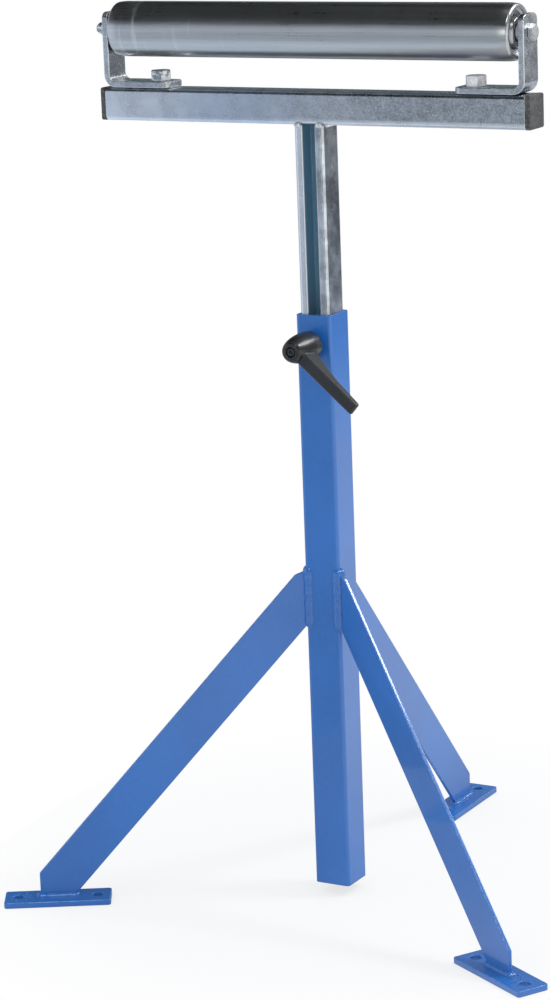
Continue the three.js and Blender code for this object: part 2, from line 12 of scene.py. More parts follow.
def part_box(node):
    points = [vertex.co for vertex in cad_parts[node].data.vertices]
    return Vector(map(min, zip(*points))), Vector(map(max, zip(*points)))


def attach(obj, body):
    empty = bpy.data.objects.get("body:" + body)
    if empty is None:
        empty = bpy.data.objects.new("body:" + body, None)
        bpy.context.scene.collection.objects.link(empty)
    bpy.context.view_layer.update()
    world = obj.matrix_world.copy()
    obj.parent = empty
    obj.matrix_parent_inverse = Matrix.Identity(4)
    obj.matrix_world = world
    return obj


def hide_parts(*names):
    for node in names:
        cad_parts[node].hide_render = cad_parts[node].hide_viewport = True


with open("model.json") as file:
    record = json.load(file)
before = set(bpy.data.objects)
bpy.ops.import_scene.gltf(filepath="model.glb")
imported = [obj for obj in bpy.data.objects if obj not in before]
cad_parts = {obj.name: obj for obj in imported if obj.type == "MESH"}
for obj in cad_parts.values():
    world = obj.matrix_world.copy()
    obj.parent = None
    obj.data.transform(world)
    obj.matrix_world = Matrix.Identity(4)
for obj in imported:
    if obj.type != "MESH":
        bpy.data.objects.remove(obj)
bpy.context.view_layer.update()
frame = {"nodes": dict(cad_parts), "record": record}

BODIES = {
    node: body
    for body, nodes in frame["record"]["behaviour"]["bodies"].items()
    for node in nodes
}

bl_info = {
    "name": "Roller stand looks",
    "version": (1, 0, 0),
    "blender": (4, 5, 0),
    "location": "3D View > Sidebar > Roller stand",
    "description": "Rounds, welds and finishes the roller stand and sets it on a pale floor",
    "category": "Object",
}

MM = 0.001
SAME_PLACE = 2e-6
FLAT_ANGLE = math.radians(0.5)
SHARP_ANGLE = math.radians(41)
NORMAL_WEIGHT = 80
HOLE_STEPS = 40
CORNER_STEPS = 8

POST_LOW, POST_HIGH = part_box("post_tube")
POST_X = (POST_LOW[0] + POST_HIGH[0]) / 2
POST_Y = (POST_LOW[1] + POST_HIGH[1]) / 2
CHANNEL_LOW, CHANNEL_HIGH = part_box("mast_channel")
BAR_LOW, BAR_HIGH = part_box("crossbar")
BOLT_LOW, BOLT_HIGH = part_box("bracket_bolt_right")
BOLT_X = (BOLT_LOW[0] + BOLT_HIGH[0]) / 2
ROLLER_LOW, ROLLER_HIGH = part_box("roller_tube")
ROLLER_RADIUS = (ROLLER_HIGH[2] - ROLLER_LOW[2]) / 2
ROLLER_HALF = (ROLLER_HIGH[0] - ROLLER_LOW[0]) / 2
AXLE_Z = (ROLLER_HIGH[2] + ROLLER_LOW[2]) / 2
CHANNEL_HALF = 41 * MM / 2
CHANNEL_SLOT_HALF = 18.5 * MM / 2
CHANNEL_BEND = 4.5 * MM
CHANNEL_WALL = 2.5 * MM
CHANNEL_SKIN = CHANNEL_HALF - CHANNEL_WALL
BAR_CORNER = 6 * MM
BAR_WALL = 3 * MM
BAR_HOLE = 8.5 * MM


LENGTH = {"unit": "LENGTH", "subtype": "DISTANCE"}
TINT = {"subtype": "COLOR", "size": 3}


class StandSizes(bpy.types.PropertyGroup):
    """Sizes of the rounded edges and welds."""

    bar_edge: FloatProperty(
        name="Bar edge", description="Rounding of sheared bar and plate edges",
        default=1.2 * MM, **LENGTH,
    )
    tube_edge: FloatProperty(
        name="Tube edge", description="Rounding of sawn tube ends", default=0.4 * MM, **LENGTH
    )
    small_edge: FloatProperty(
        name="Small edge", description="Rounding of bolts, nuts and caps",
        default=0.25 * MM, **LENGTH,
    )
    weld_pitch: FloatProperty(
        name="Weld pitch", description="Distance between the ripples of a weld",
        default=4.2 * MM, **LENGTH,
    )
    weld_ripple: FloatProperty(
        name="Weld ripple", description="Height of a weld's ripples as a share of its radius",
        default=0.03, subtype="FACTOR",
    )
    roller_steps: IntProperty(
        name="Roller steps", description="Facets round the roller", default=160
    )
    casting_grid: FloatProperty(
        name="Casting grid", description="Grid on which the cast lever's edges are rounded",
        default=0.7 * MM, **LENGTH,
    )


class StandColours(bpy.types.PropertyGroup):
    """Colours of the finishes, in linear light."""

    paint: FloatVectorProperty(
        name="Paint", description="Colour of the painted foot",
        default=(0.017, 0.141, 0.477), **TINT,
    )
    zinc: FloatVectorProperty(
        name="Zinc", description="Colour of the plated pieces",
        default=(0.68, 0.72, 0.77), **TINT,
    )
    roller: FloatVectorProperty(
        name="Roller", description="Colour of the roller's steel",
        default=(0.535, 0.54, 0.545), **TINT,
    )
    plastic: FloatVectorProperty(
        name="Plastic", description="Colour of the end caps",
        default=(0.045, 0.046, 0.048), **TINT,
    )
    casting: FloatVectorProperty(
        name="Casting", description="Colour of the lever's coating",
        default=(0.012, 0.013, 0.0145), **TINT,
    )
    floor: FloatVectorProperty(
        name="Floor", description="Colour of the floor", default=(0.80, 0.80, 0.80), **TINT
    )


class Shade:
    """A value in a node tree. Arithmetic on it adds Math nodes, and node() adds any other node."""

    def __init__(self, tree, socket=None):
        self.tree = tree
        self.socket = socket

    def node(self, kind, settings=None, inputs=None, output=0):
        made = self.tree.nodes.new(f"ShaderNode{kind}")
        for key, value in (settings or {}).items():
            setattr(made, key, value)
        for key, value in (inputs or {}).items():
            if isinstance(value, Shade):
                self.tree.links.new(value.socket, made.inputs[key])
            else:
                made.inputs[key].default_value = value
        return Shade(self.tree, made.outputs[output] if made.outputs else None)

    def _math(self, operation, first, second):
        return self.node("Math", {"operation": operation}, {0: first, 1: second})

    def __add__(self, other):
        return self._math("ADD", self, other)

    def __radd__(self, other):
        return self._math("ADD", other, self)

    def __sub__(self, other):
        return self._math("SUBTRACT", self, other)

    def __rsub__(self, other):
        return self._math("SUBTRACT", other, self)

    def __mul__(self, other):
        return self._math("MULTIPLY", self, other)

    def __rmul__(self, other):
        return self._math("MULTIPLY", other, self)

    def above(self, start, end):
        """0 below start, 1 above end, smooth between them."""
        settings = {"interpolation_type": "SMOOTHSTEP"}
        return self.node("MapRange", settings, {0: self, 1: start, 2: end})

    def below(self, start, end):
        """1 below start, 0 above end, smooth between them."""
        return 1.0 - self.above(start, end)

    def between(self, start, full, fade, end):
        """0 below start and above end, 1 from full to fade, smooth between them."""
        return self.above(start, full) * self.below(fade, end)

    def noise(self, place, scale, detail=2.0, roughness=0.5):
        inputs = {"Vector": place, "Scale": scale, "Detail": detail, "Roughness": roughness}
        return self.node("TexNoise", inputs=inputs)

    def streaks(self, place, stretch, detail=2.0, roughness=0.5, scale=1.0):
        """Noise that is finer along some axes."""
        place = self.node("Mapping", inputs={"Vector": place, "Scale": stretch})
        return self.noise(place, scale, detail, roughness)

    def mix(self, factor, first, second):
        """A colour that goes from first to second, either of them a value or a plain colour."""
        inputs = {0: factor}
        for key, tone in ((6, first), (7, second)):
            inputs[key] = tone if isinstance(tone, Shade) else (*tone, 1.0)
        return self.node("Mix", {"data_type": "RGBA"}, inputs, 2)

    def parts(self, vector):
        """The X, Y and Z of a vector."""
        split = self.node("SeparateXYZ", inputs={0: vector}).socket.node
        return [Shade(self.tree, output) for output in split.outputs]


def colour(rgb, scale):
    """A plain colour made brighter or darker."""
    return tuple(channel * scale for channel in rgb)


def new_material(name):
    """Starts a material: its node tree and its Object coordinates."""
    material = bpy.data.materials.new(name)
    material.use_nodes = True
    material.node_tree.nodes.clear()
    shade = Shade(material.node_tree)
    place = shade.node("TexCoord", output="Object")
    return shade, place


def close_material(shade, inputs, height, bump_distance, bump_strength):
    """Ends a material with a Principled shader and a bump."""
    bump = {"Height": height, "Distance": bump_distance, "Strength": bump_strength}
    normal = shade.node("Bump", inputs=bump)
    surface = shade.node("BsdfPrincipled", inputs={**inputs, "Normal": normal})
    shade.node("OutputMaterial", inputs={"Surface": surface})


PAINT_SPECK = (0.10, 0.22, 0.55)
PAINT_EDGE = (0.16, 0.30, 0.60)
PAINT_SCUFF = (0.25, 0.38, 0.62)
ZINC_WHITE = (0.93, 0.94, 0.94)
ZINC_WARM = (0.56, 0.53, 0.57)
ZINC_FLAKE = (0.82, 0.85, 0.88)
ZINC_EDGE = (0.78, 0.80, 0.82)
ZINC_CRYSTAL = (0.66, 0.70, 0.76)
ZINC_BEND_HIGHLIGHT = (0.92, 0.93, 0.96)
ZINC_BLUE_TINT_AND_REFLECTION = (0.34, 0.44, 0.65)
ZINC_PAINTED_DARK = (0.20, 0.23, 0.25)
ZINC_INSIDE_SHADE = (0.27, 0.47, 0.60)
STEEL_STAIN = (0.47, 0.47, 0.46)
STEEL_RUB = (0.90, 0.90, 0.88)
BEARING_OILED = (0.62, 0.63, 0.64)
BEARING_DRY = (0.70, 0.71, 0.72)
PLASTIC_EDGE = (0.10, 0.10, 0.11)
PLASTIC_GRAIN = (0.125, 0.122, 0.117)
CASTING_GRAIN = (0.06, 0.06, 0.065)
CASTING_RUB = (0.09, 0.09, 0.095)
SCREW_DARK = (0.035, 0.038, 0.04)
SCREW_PALE = (0.07, 0.075, 0.08)
SCREW_EDGE = (0.25, 0.25, 0.26)
FROM_LEFT_TO_RIGHT = (-0.1, 0.1)


def edge_of(shade):
    """1 on the rounded edges, 0 elsewhere."""
    return shade.node("Attribute", {"attribute_name": "edge"}, output="Fac")


def paint_finish(colours):
    """Glossy powder coat: orange peel, clouds, fine scuffs, thin and paler on the edges."""
    shade, place = new_material("blue_powder_coat")
    base = colours.paint
    cloud = shade.noise(place, 7.0, 4.0)
    speck = shade.noise(place, 160.0, 3.0)
    peel = shade.noise(place, 420.0, 1.0)
    grit = shade.noise(place, 1500.0, 2.0)
    scuff = shade.streaks(place, (30.0, 30.0, 220.0), 5.0, 0.65, 3.0).above(0.63, 0.72)
    edge = edge_of(shade)
    tone = shade.mix(cloud.above(0.3, 0.7), colour(base, 0.93), colour(base, 1.08))
    tone = shade.mix(speck.above(0.45, 0.8) * 0.10, tone, PAINT_SPECK)
    tone = shade.mix(edge * speck.above(0.35, 0.7) * 0.35, tone, PAINT_EDGE)
    tone = shade.mix(scuff * 0.05, tone, PAINT_SCUFF)
    rough = 0.30 + cloud * 0.06 + scuff * 0.08 + grit * 0.03
    inputs = {
        "Base Color": tone, "Roughness": rough, "IOR": 1.5, "Coat Weight": 0.75 - scuff * 0.3,
        "Coat Roughness": 0.07,
    }
    close_material(shade, inputs, peel * 0.8 + grit * 0.2, 0.35 * MM, 0.22)


def channel_marks(shade, place):
    """Masks of the channel: its inside, painted dark as shade; how much its skin clouds; its bare lip
    ends and left lip, painted white as highlight and sheen.
    """
    x, y, _ = shade.parts(place)
    beside = shade.node("Math", {"operation": "ABSOLUTE"}, {0: x - POST_X})
    behind = y - POST_Y
    inner_skin = (CHANNEL_SKIN + 0.1 * MM, CHANNEL_SKIN + 0.9 * MM)
    flank = (CHANNEL_HALF - 0.9 * MM, CHANNEL_HALF - 0.4 * MM)
    lip_end = (CHANNEL_SLOT_HALF + 0.25 * MM, CHANNEL_SLOT_HALF + 0.65 * MM)
    lip_back = (-CHANNEL_SKIN - 0.4 * MM, -CHANNEL_SKIN + 0.1 * MM)
    lip_front = (-CHANNEL_HALF + 0.3 * MM, -CHANNEL_HALF + 0.7 * MM)
    # The inside is painted darker, bluer and less metallic as painted shade, most towards the back.
    deep = behind.above(-CHANNEL_SKIN - 0.2 * MM, -CHANNEL_SKIN + 0.4 * MM)
    deep = deep * (0.80 + 0.20 * behind.above(-16 * MM, 4 * MM))
    inside = deep * beside.below(*inner_skin) * behind.below(*inner_skin)
    # The left lip clouds less than the right and is whitened a little: a painted sheen.
    right = x.above(POST_X - 5 * MM, POST_X + 5 * MM)
    lips = 0.25 + 0.75 * right
    clouding = lips + (1.0 - lips) * beside.above(*flank)
    bare_and_highlight = beside.below(*lip_end) * behind.below(*lip_back)
    left_lip_sheen = (1.0 - right) * behind.below(*lip_front)
    return inside, clouding, bare_and_highlight + (1.0 - bare_and_highlight) * left_lip_sheen * 0.2


def bar_flecks(shade, place):
    """Masks of the crossbar: crystals on its face, the lower bend painted bright as a highlight, and
    a bluer stretch, a plating tint that is also a painted reflection.
    """
    x, _, z = shade.parts(place)
    face = (z - BAR_LOW[2]).above(5 * MM, 9 * MM)
    bend_highlight = (1.0 - face) * (0.3 + 0.7 * x.above(-0.1, 0.2))
    crystals = face * (0.45 + 0.55 * x.above(-0.05, 0.12)) * x.above(-0.22, -0.02)
    return crystals, bend_highlight, x.between(-0.24, -0.13, -0.09, 0.03)


def axle_head(x):
    """1 on the head of the axle, past the right end of the crossbar."""
    return (x - BAR_HIGH[0]).above(-0.5 * MM, 0.5 * MM)


def fixing_metal_and_sheen(shade, place):
    """How metallic the plated fixings are: patchy, far less to the right, where the pale plate shows
    white as a painted reflection, and more on the axle's head.
    """
    x = shade.parts(place)[0]
    patch = shade.noise(place, 210.0, 2.0, 0.6).above(0.45, 0.62)
    right = x.above(*FROM_LEFT_TO_RIGHT)
    return 0.80 - 0.78 * right + patch * (0.20 + 0.10 * right) + 0.35 * axle_head(x)


def fixing_painted_dark(shade, place):
    """Painted dark spots on the plated fixings to the left, standing in for dark reflections, and the
    axle's head painted darker to the right, as painted shade.
    """
    x = shade.parts(place)[0]
    painted_dark_spots = shade.noise(place, 190.0, 2.0, 0.6).above(0.44, 0.56)
    return painted_dark_spots * x.below(*FROM_LEFT_TO_RIGHT) * 0.8 + 0.55 * axle_head(x)


def bracket_plate(shade, place):
    """How metallic the brackets are: whitened in large clouds."""
    return 0.80 + 0.20 * shade.noise(place, 60.0, 3.0, 0.6).above(0.4, 0.6)


def zinc_finish(
    name, colours, along, depth, shine, spangle, relief=0.30, dark=1.0, pale=0.0,
    marks=None, flecks=None, plate=None, stain=None,
):
    """Bright plate with spangle, clouds and drawn streaks.

    along stretches the streaks, depth darkens the clouds, shine is the least roughness, spangle the
    strength of the flakes, relief that of the bump, dark the brightness kept, pale the whitening.
    marks and flecks give the masks of the channel and of the crossbar, some of them painted light,
    plate how metallic the skin is, and stain where it is painted darker, as shade and dark
    reflections."""
    shade, place = new_material(name)
    base = Vector(colours.zinc).lerp(Vector(ZINC_WHITE), pale) * dark
    cells = {"Vector": place, "Scale": 420.0, "Randomness": 1.0}
    spangles = shade.node("TexVoronoi", inputs=cells, output="Color")
    flake = shade.parts(spangles)[0]
    cloud = shade.noise(place, 26.0, 4.0, 0.6)
    blotch = shade.noise(place, 70.0, 3.0, 0.6)
    fine = shade.noise(place, 900.0, 2.0)
    streak = shade.streaks(place, along, 4.0, 0.6)
    edge = edge_of(shade)
    clouding = 1.0
    if marks:
        inside, clouding, bare_and_highlight = marks(shade, place)
    cloudy = cloud.below(0.35, 0.7) * clouding
    cool = shade.mix(cloudy, colour(base, 1.06), colour(base, 1.0 - depth))
    warm = shade.mix(blotch.above(0.52, 0.75) * 0.30, cool, ZINC_WARM)
    flaked = shade.mix(flake.above(0.5, 1.0) * spangle, warm, ZINC_FLAKE)
    tone = shade.mix(streak.above(0.5, 0.75) * (0.35 * clouding), flaked, colour(base, 0.72))
    tone = shade.mix(edge * 0.5, tone, ZINC_EDGE)
    rough = shine + cloud * 0.10 + flake * spangle * 0.12 + fine * 0.05 - edge * 0.05
    if flecks:
        crystals, bend_highlight, blue_tint_and_reflection = flecks(shade, place)
        crystal = shade.noise(place, 520.0, 3.0, 0.75).above(0.32, 0.72)
        crystal = 0.75 * crystal + 0.25 * blotch.above(0.3, 0.7)
        sandy = shade.mix(crystal, colour(base, 0.18), ZINC_CRYSTAL)
        tone = shade.mix(crystals * 0.80, tone, sandy)
        # The lower bend is painted bright: a painted highlight.
        tone = shade.mix(bend_highlight * 0.6, tone, ZINC_BEND_HIGHLIGHT)
        # A bluer stretch: a plating tint that is also a painted reflection.
        tone = shade.mix(blue_tint_and_reflection * 0.3, tone, ZINC_BLUE_TINT_AND_REFLECTION)
    if stain:
        # Painted darkness: dark reflections and shade painted on the fixings.
        tone = shade.mix(stain(shade, place), tone, ZINC_PAINTED_DARK)
    metal = plate(shade, place) if plate else 1.0
    if marks:
        # The channel's inside is painted darker as shade.
        tone = shade.mix(inside, tone, ZINC_INSIDE_SHADE)
        # The lip ends are bare edges, painted white as a highlight.
        tone = shade.mix(bare_and_highlight, tone, ZINC_WHITE)
        rough = rough + inside * 0.25
        metal = metal - inside * 0.75 - bare_and_highlight * 0.8
    inputs = {"Base Color": tone, "Metallic": metal, "Roughness": rough}
    height = cloud * 0.5 + flake * spangle * 0.25 + fine * 0.12 + streak * 0.25
    close_material(shade, inputs, height, 0.25 * MM, relief)


def roller_finish(colours):
    """Drawn tube polished by use: streaks along it, faint rings round it, a few stains."""
    shade, place = new_material("drawn_steel")
    base = colours.roller
    drawn = shade.streaks(place, (5.0, 420.0, 420.0), 4.0, 0.6)
    ring = shade.streaks(place, (900.0, 9.0, 9.0), 3.0, 0.6)
    stain = shade.noise(place, 24.0, 5.0, 0.65)
    fine = shade.noise(place, 1400.0, 2.0)
    tone = shade.mix(drawn.above(0.3, 0.7), colour(base, 0.90), colour(base, 1.06))
    tone = shade.mix(ring.above(0.5, 0.8) * 0.22, tone, colour(base, 0.78))
    tone = shade.mix(stain.above(0.55, 0.8) * 0.30, tone, STEEL_STAIN)
    rub = shade.streaks(place, (110.0, 14.0, 14.0), 3.0, 0.6).above(0.55, 0.7)
    rub = rub * shade.parts(place)[0].below(-0.22, -0.08)
    tone = shade.mix(rub * 0.3, tone, STEEL_RUB)
    rough = 0.18 + drawn * 0.10 + stain * 0.08 + ring * 0.05 + rub * 0.12
    inputs = {"Base Color": tone, "Metallic": 1.0, "Roughness": rough}
    close_material(shade, inputs, drawn * 0.5 + ring * 0.3 + fine * 0.2, 0.12 * MM, 0.25)


def bearing_finish():
    """Ground steel with fine turning marks."""
    shade, place = new_material("ground_steel")
    mark = shade.streaks(place, (1600.0, 60.0, 60.0), 2.0)
    oil = shade.noise(place, 120.0, 4.0)
    tone = shade.mix(oil.above(0.4, 0.7), BEARING_OILED, BEARING_DRY)
    inputs = {"Base Color": tone, "Metallic": 1.0, "Roughness": 0.18 + mark * 0.08 + oil * 0.06}
    close_material(shade, inputs, mark, 0.05 * MM, 0.2)


def plastic_finish(colours):
    """Moulded black plastic with a fine eroded grain."""
    shade, place = new_material("moulded_black")
    base = colours.plastic
    grain = shade.noise(place, 360.0, 3.0, 0.75)
    cloud = shade.noise(place, 90.0, 3.0)
    tone = shade.mix(cloud.above(0.3, 0.7), colour(base, 0.85), colour(base, 1.3))
    tone = shade.mix(edge_of(shade) * 0.35, tone, PLASTIC_EDGE)
    tone = shade.mix(grain.above(0.48, 0.60) * 0.90, tone, PLASTIC_GRAIN)
    inputs = {"Base Color": tone, "Roughness": 0.42 + grain * 0.22, "IOR": 1.48}
    close_material(shade, inputs, grain, 0.35 * MM, 0.5)


def casting_finish(colours):
    """Fine-textured black coating over a die casting."""
    shade, place = new_material("textured_black")
    base = colours.casting
    grain = shade.noise(place, 700.0, 3.0, 0.6)
    cloud = shade.noise(place, 45.0, 3.0)
    rub = shade.noise(place, 130.0, 4.0, 0.6).above(0.58, 0.72)
    tone = shade.mix(cloud.above(0.3, 0.7), colour(base, 0.85), colour(base, 1.3))
    tone = shade.mix(grain.above(0.62, 0.8) * 0.3, tone, CASTING_GRAIN)
    tone = shade.mix(rub * 0.12, tone, CASTING_RUB)
    rough = 0.26 + grain * 0.14 + cloud * 0.06
    inputs = {
        "Base Color": tone, "Roughness": rough, "IOR": 1.5, "Specular IOR Level": 0.32,
        "Coat Weight": 0.5 - rub * 0.3, "Coat Roughness": 0.22,
    }
    close_material(shade, inputs, grain * 0.8 + cloud * 0.2, 0.30 * MM, 0.30)


def screw_finish():
    """Blackened steel, rubbed a little bright."""
    shade, place = new_material("blackened_steel")
    cloud = shade.noise(place, 300.0, 3.0)
    fine = shade.noise(place, 1500.0, 2.0)
    tone = shade.mix(cloud.above(0.4, 0.7), SCREW_DARK, SCREW_PALE)
    tone = shade.mix(edge_of(shade) * 0.4, tone, SCREW_EDGE)
    inputs = {"Base Color": tone, "Metallic": 0.8, "Roughness": 0.30 + fine * 0.1}
    close_material(shade, inputs, fine, 0.1 * MM, 0.2)


ZINC_FINISHES = {
    "zinc_bar": dict(
        along=(4.0, 160.0, 160.0), depth=0.16, shine=0.20, spangle=0.15, relief=0.05,
        flecks=bar_flecks,
    ),
    "zinc_channel": dict(
        along=(130.0, 130.0, 5.0), depth=0.45, shine=0.16, spangle=0.12, marks=channel_marks
    ),
    "zinc_bracket": dict(
        along=(60.0, 8.0, 60.0), depth=0.30, shine=0.18, spangle=0.20, dark=0.80,
        plate=bracket_plate,
    ),
    # The housings sit in the roller's ends: this darker copy of the plate is painted shade.
    "zinc_housing_painted_shade": dict(
        along=(90.0, 90.0, 90.0), depth=0.35, shine=0.20, spangle=0.15, dark=0.65
    ),
    "zinc_fixing": dict(
        along=(90.0, 90.0, 90.0), depth=0.12, shine=0.12, spangle=0.3, pale=0.8,
        plate=fixing_metal_and_sheen, stain=fixing_painted_dark,
    ),
}


def make_finishes(colours):
    paint_finish(colours)
    for name, recipe in ZINC_FINISHES.items():
        zinc_finish(name, colours, **recipe)
    roller_finish(colours)
    bearing_finish()
    plastic_finish(colours)
    casting_finish(colours)
    screw_finish()


def finish_of(context, name):
    """A finish by its name. The first call makes all of them."""
    if name not in bpy.data.materials:
        make_finishes(context.scene.stand_colours)
    return bpy.data.materials[name]


def mesh_data(name, mesh):
    """Turns a bmesh into mesh data."""
    data = bpy.data.meshes.new(name)
    mesh.to_mesh(data)
    mesh.free()
    return data


def placed(name, data):
    """Puts a new object into the scene."""
    thing = bpy.data.objects.new(name, data)
    bpy.context.scene.collection.objects.link(thing)
    return thing


def add_piece(name, mesh, material, body, nodes):
    """Puts a finished bmesh into the scene as a piece of the object."""
    data = mesh_data(name, mesh)
    data.materials.append(material)
    piece = placed(name, data)
    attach(piece, body)
    if nodes:
        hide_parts(*nodes)
    return piece


def add_for_node(name, mesh, material, node):
    """Puts a finished bmesh in the place of a CAD node. Flat faces stay flat beside rounding."""
    piece = add_piece(name, mesh, material, BODIES[node], [node])
    weighted = piece.modifiers.new("even_normals", "WEIGHTED_NORMAL")
    weighted.weight = NORMAL_WEIGHT
    weighted.keep_sharp = True


def smooth(mesh):
    for face in mesh.faces:
        face.smooth = True


def face_outwards(mesh):
    bmesh.ops.recalc_face_normals(mesh, faces=mesh.faces)


def node_copy(node):
    """A bmesh of a CAD node with its triangles joined into whole faces."""
    mesh = bmesh.new()
    mesh.from_mesh(frame["nodes"][node].data)
    mesh.transform(frame["nodes"][node].matrix_world)
    bmesh.ops.remove_doubles(mesh, verts=mesh.verts, dist=SAME_PLACE)
    bmesh.ops.dissolve_limit(
        mesh, angle_limit=FLAT_ANGLE, verts=mesh.verts[:], edges=mesh.edges[:], delimit=set()
    )
    return mesh


def rounded_along(mesh, edges, radius, segments=CORNER_STEPS):
    """Rounds some edges and gives the new faces."""
    made = bmesh.ops.bevel(
        mesh, geom=edges, offset=radius, offset_type="OFFSET", segments=segments, profile=0.5,
        affect="EDGES", clamp_overlap=False, material=-1,
    )
    return made["faces"]


def round_edges(mesh, offset, segments=3):
    """Rounds the sharp edges and marks the rounding for wear."""
    layer = mesh.faces.layers.float.get("edge") or mesh.faces.layers.float.new("edge")
    folds = [edge for edge in mesh.edges if edge.is_manifold]
    sharp = [edge for edge in folds if edge.calc_face_angle() > SHARP_ANGLE]
    if sharp:
        for face in rounded_along(mesh, sharp, offset, segments):
            face[layer] = 1.0
    smooth(mesh)


def rounded_node(name, node, material, offset, segments=2):
    """Adds a copy of a CAD node with its edges rounded."""
    mesh = node_copy(node)
    round_edges(mesh, offset, segments)
    add_for_node(name, mesh, material, node)


def turned(profile, steps, place=Matrix()):
    """A closed skin turned about the X axis from [along, radius] pairs."""
    mesh = bmesh.new()
    points = [mesh.verts.new((along, 0.0, radius)) for along, radius in profile]
    edges = [mesh.edges.new(pair) for pair in zip(points, points[1:])]
    bmesh.ops.spin(
        mesh, geom=points + edges, cent=(0, 0, 0), axis=(1, 0, 0), dvec=(0, 0, 0),
        angle=2 * math.pi, steps=steps, use_merge=True, use_duplicate=False,
    )
    bmesh.ops.remove_doubles(mesh, verts=mesh.verts, dist=SAME_PLACE)
    face_outwards(mesh)
    bmesh.ops.transform(mesh, matrix=place, verts=mesh.verts)
    smooth(mesh)
    return mesh


def joined(meshes):
    """One bmesh of several."""
    whole = bmesh.new()
    for mesh in meshes:
        data = mesh_data("joining", mesh)
        whole.from_mesh(data)
        bpy.data.meshes.remove(data)
    return whole


def after_modifier(mesh, kind, settings):
    """The bmesh as one modifier leaves it."""
    data = mesh_data("blank", mesh)
    blank = placed("blank", data)
    modifier = blank.modifiers.new(kind, kind)
    for key, value in settings.items():
        setattr(modifier, key, value)
    depsgraph = bpy.context.evaluated_depsgraph_get()
    made = bpy.data.meshes.new_from_object(blank.evaluated_get(depsgraph))
    bpy.data.objects.remove(blank)
    bpy.data.meshes.remove(data)
    result = bmesh.new()
    result.from_mesh(made)
    bpy.data.meshes.remove(made)
    return result


def drilled(mesh, place, radius, depth):
    """The bmesh with a round hole. place turns and moves a hole that runs along Z."""
    drill = bmesh.new()
    bmesh.ops.create_cone(
        drill, cap_ends=True, segments=HOLE_STEPS, radius1=radius, radius2=radius, depth=depth,
        matrix=place,
    )
    data = mesh_data("drill", drill)
    tool = placed("drill", data)
    settings = {"operation": "DIFFERENCE", "solver": "EXACT", "object": tool}
    result = after_modifier(mesh, "BOOLEAN", settings)
    bpy.data.objects.remove(tool)
    bpy.data.meshes.remove(data)
    return result


def upright_edges(mesh, axis):
    """The edges that run along one axis."""
    others = [index for index in range(3) if index != axis]
    return [
        edge
        for edge in mesh.edges
        if all(abs(edge.verts[0].co[i] - edge.verts[1].co[i]) < SAME_PLACE for i in others)
    ]


def block(low, high):
    """A box between two corners."""
    mesh = bmesh.new()
    size = [end - start for start, end in zip(low, high)]
    middle = [(end + start) / 2 for start, end in zip(low, high)]
    place = Matrix.Translation(middle) @ Matrix.Diagonal((*size, 1.0))
    bmesh.ops.create_cube(mesh, size=1.0, matrix=place)
    return mesh


def move_grown(mesh, grown, vec):
    """Moves the new points of an extrusion."""
    moved = [item for item in grown["geom"] if isinstance(item, bmesh.types.BMVert)]
    bmesh.ops.translate(mesh, verts=moved, vec=vec)
    face_outwards(mesh)


def slab(outline, near, thickness):
    """A plate that stands along Y, from its outline of (x, z) points."""
    mesh = bmesh.new()
    side = mesh.faces.new([mesh.verts.new((x, near, z)) for x, z in outline])
    move_grown(mesh, bmesh.ops.extrude_face_region(mesh, geom=[side]), (0, thickness, 0))
    return mesh


def box_tube(low, high, axis, corner, wall):
    """A square tube along one axis, open at both ends."""
    mesh = block(low, high)
    ends = [face for face in mesh.faces if abs(face.normal[axis]) > 0.5]
    bmesh.ops.delete(mesh, geom=ends, context="FACES_ONLY")
    rounded_along(mesh, upright_edges(mesh, axis), corner)
    face_outwards(mesh)
    bmesh.ops.solidify(mesh, geom=mesh.faces[:], thickness=wall)
    face_outwards(mesh)
    return mesh


def arc(along, radius, reach, start, end, steps):
    """Points [along, radius] on an arc round a point, angles from the radial direction."""
    angles = [start + (end - start) * step / steps for step in range(steps + 1)]
    return [(along + reach * math.sin(turn), radius + reach * math.cos(turn)) for turn in angles]


POST_CORNER = 5 * MM
POST_WALL = 4 * MM
CLAMP_Z = 733.6 * MM
STUD_HOLE = 6.5 * MM
PLATE_LENGTH = 140 * MM
PLATE_WIDTH = 45 * MM
PLATE_THICKNESS = 8 * MM
PLATE_CORNER = 4 * MM
PLATE_HOLE = 7 * MM
PLATE_HOLE_SPACING = 104 * MM
LEG_WIDTH = 55 * MM
LEG_THICKNESS = 5 * MM
LEG_SLOPE = math.radians(48.2)
LEG_REACH = 363 * MM
LEG_UPRIGHT_CUT = 32 * MM
LEG_CORNER_REACH = 14 * MM
LEG_CORNER_DROP = 10 * MM
PLATE_TOP = 8.3 * MM
FRONT_INNER = 32.6205 * MM
FRONT_OFFSET = 6.1506 * MM
REAR_INNER = 25.3 * MM
LEGS = {
    "front_left": (math.radians(210), FRONT_INNER, FRONT_OFFSET),
    "front_right": (math.radians(-30), FRONT_INNER, -FRONT_OFFSET),
    "rear": (math.radians(90), REAR_INNER, 0.0),
}
LEG_RISE = math.tan(LEG_SLOPE)
LEG_TOP = PLATE_TOP + LEG_UPRIGHT_CUT + LEG_REACH * LEG_RISE
LEG_LOW = LEG_TOP - LEG_WIDTH / math.cos(LEG_SLOPE)
LEG_CORNER = LEG_TOP - LEG_CORNER_DROP
LEG_TOE = (LEG_LOW - PLATE_TOP) / LEG_RISE
POST_BEAD = 8 * MM
BEAD_SUNK = {"front_left": 4.8 * MM, "front_right": 3 * MM, "rear": 3 * MM}
BEAD_ASIDE = -1.2 * MM
BEAD_BELOW = -1 * MM
BEAD_STOP = 1 * MM
BEAD_TIP = 0.8
BEAD_SHOULDER = 0.6
BEAD_UNEVEN = 0.09
FOOT_BEAD = 5.2 * MM
FOOT_BEAD_SUNK = 0.8 * MM
FOOT_BEAD_PAST = 2 * MM
FOOT_SEED = 10
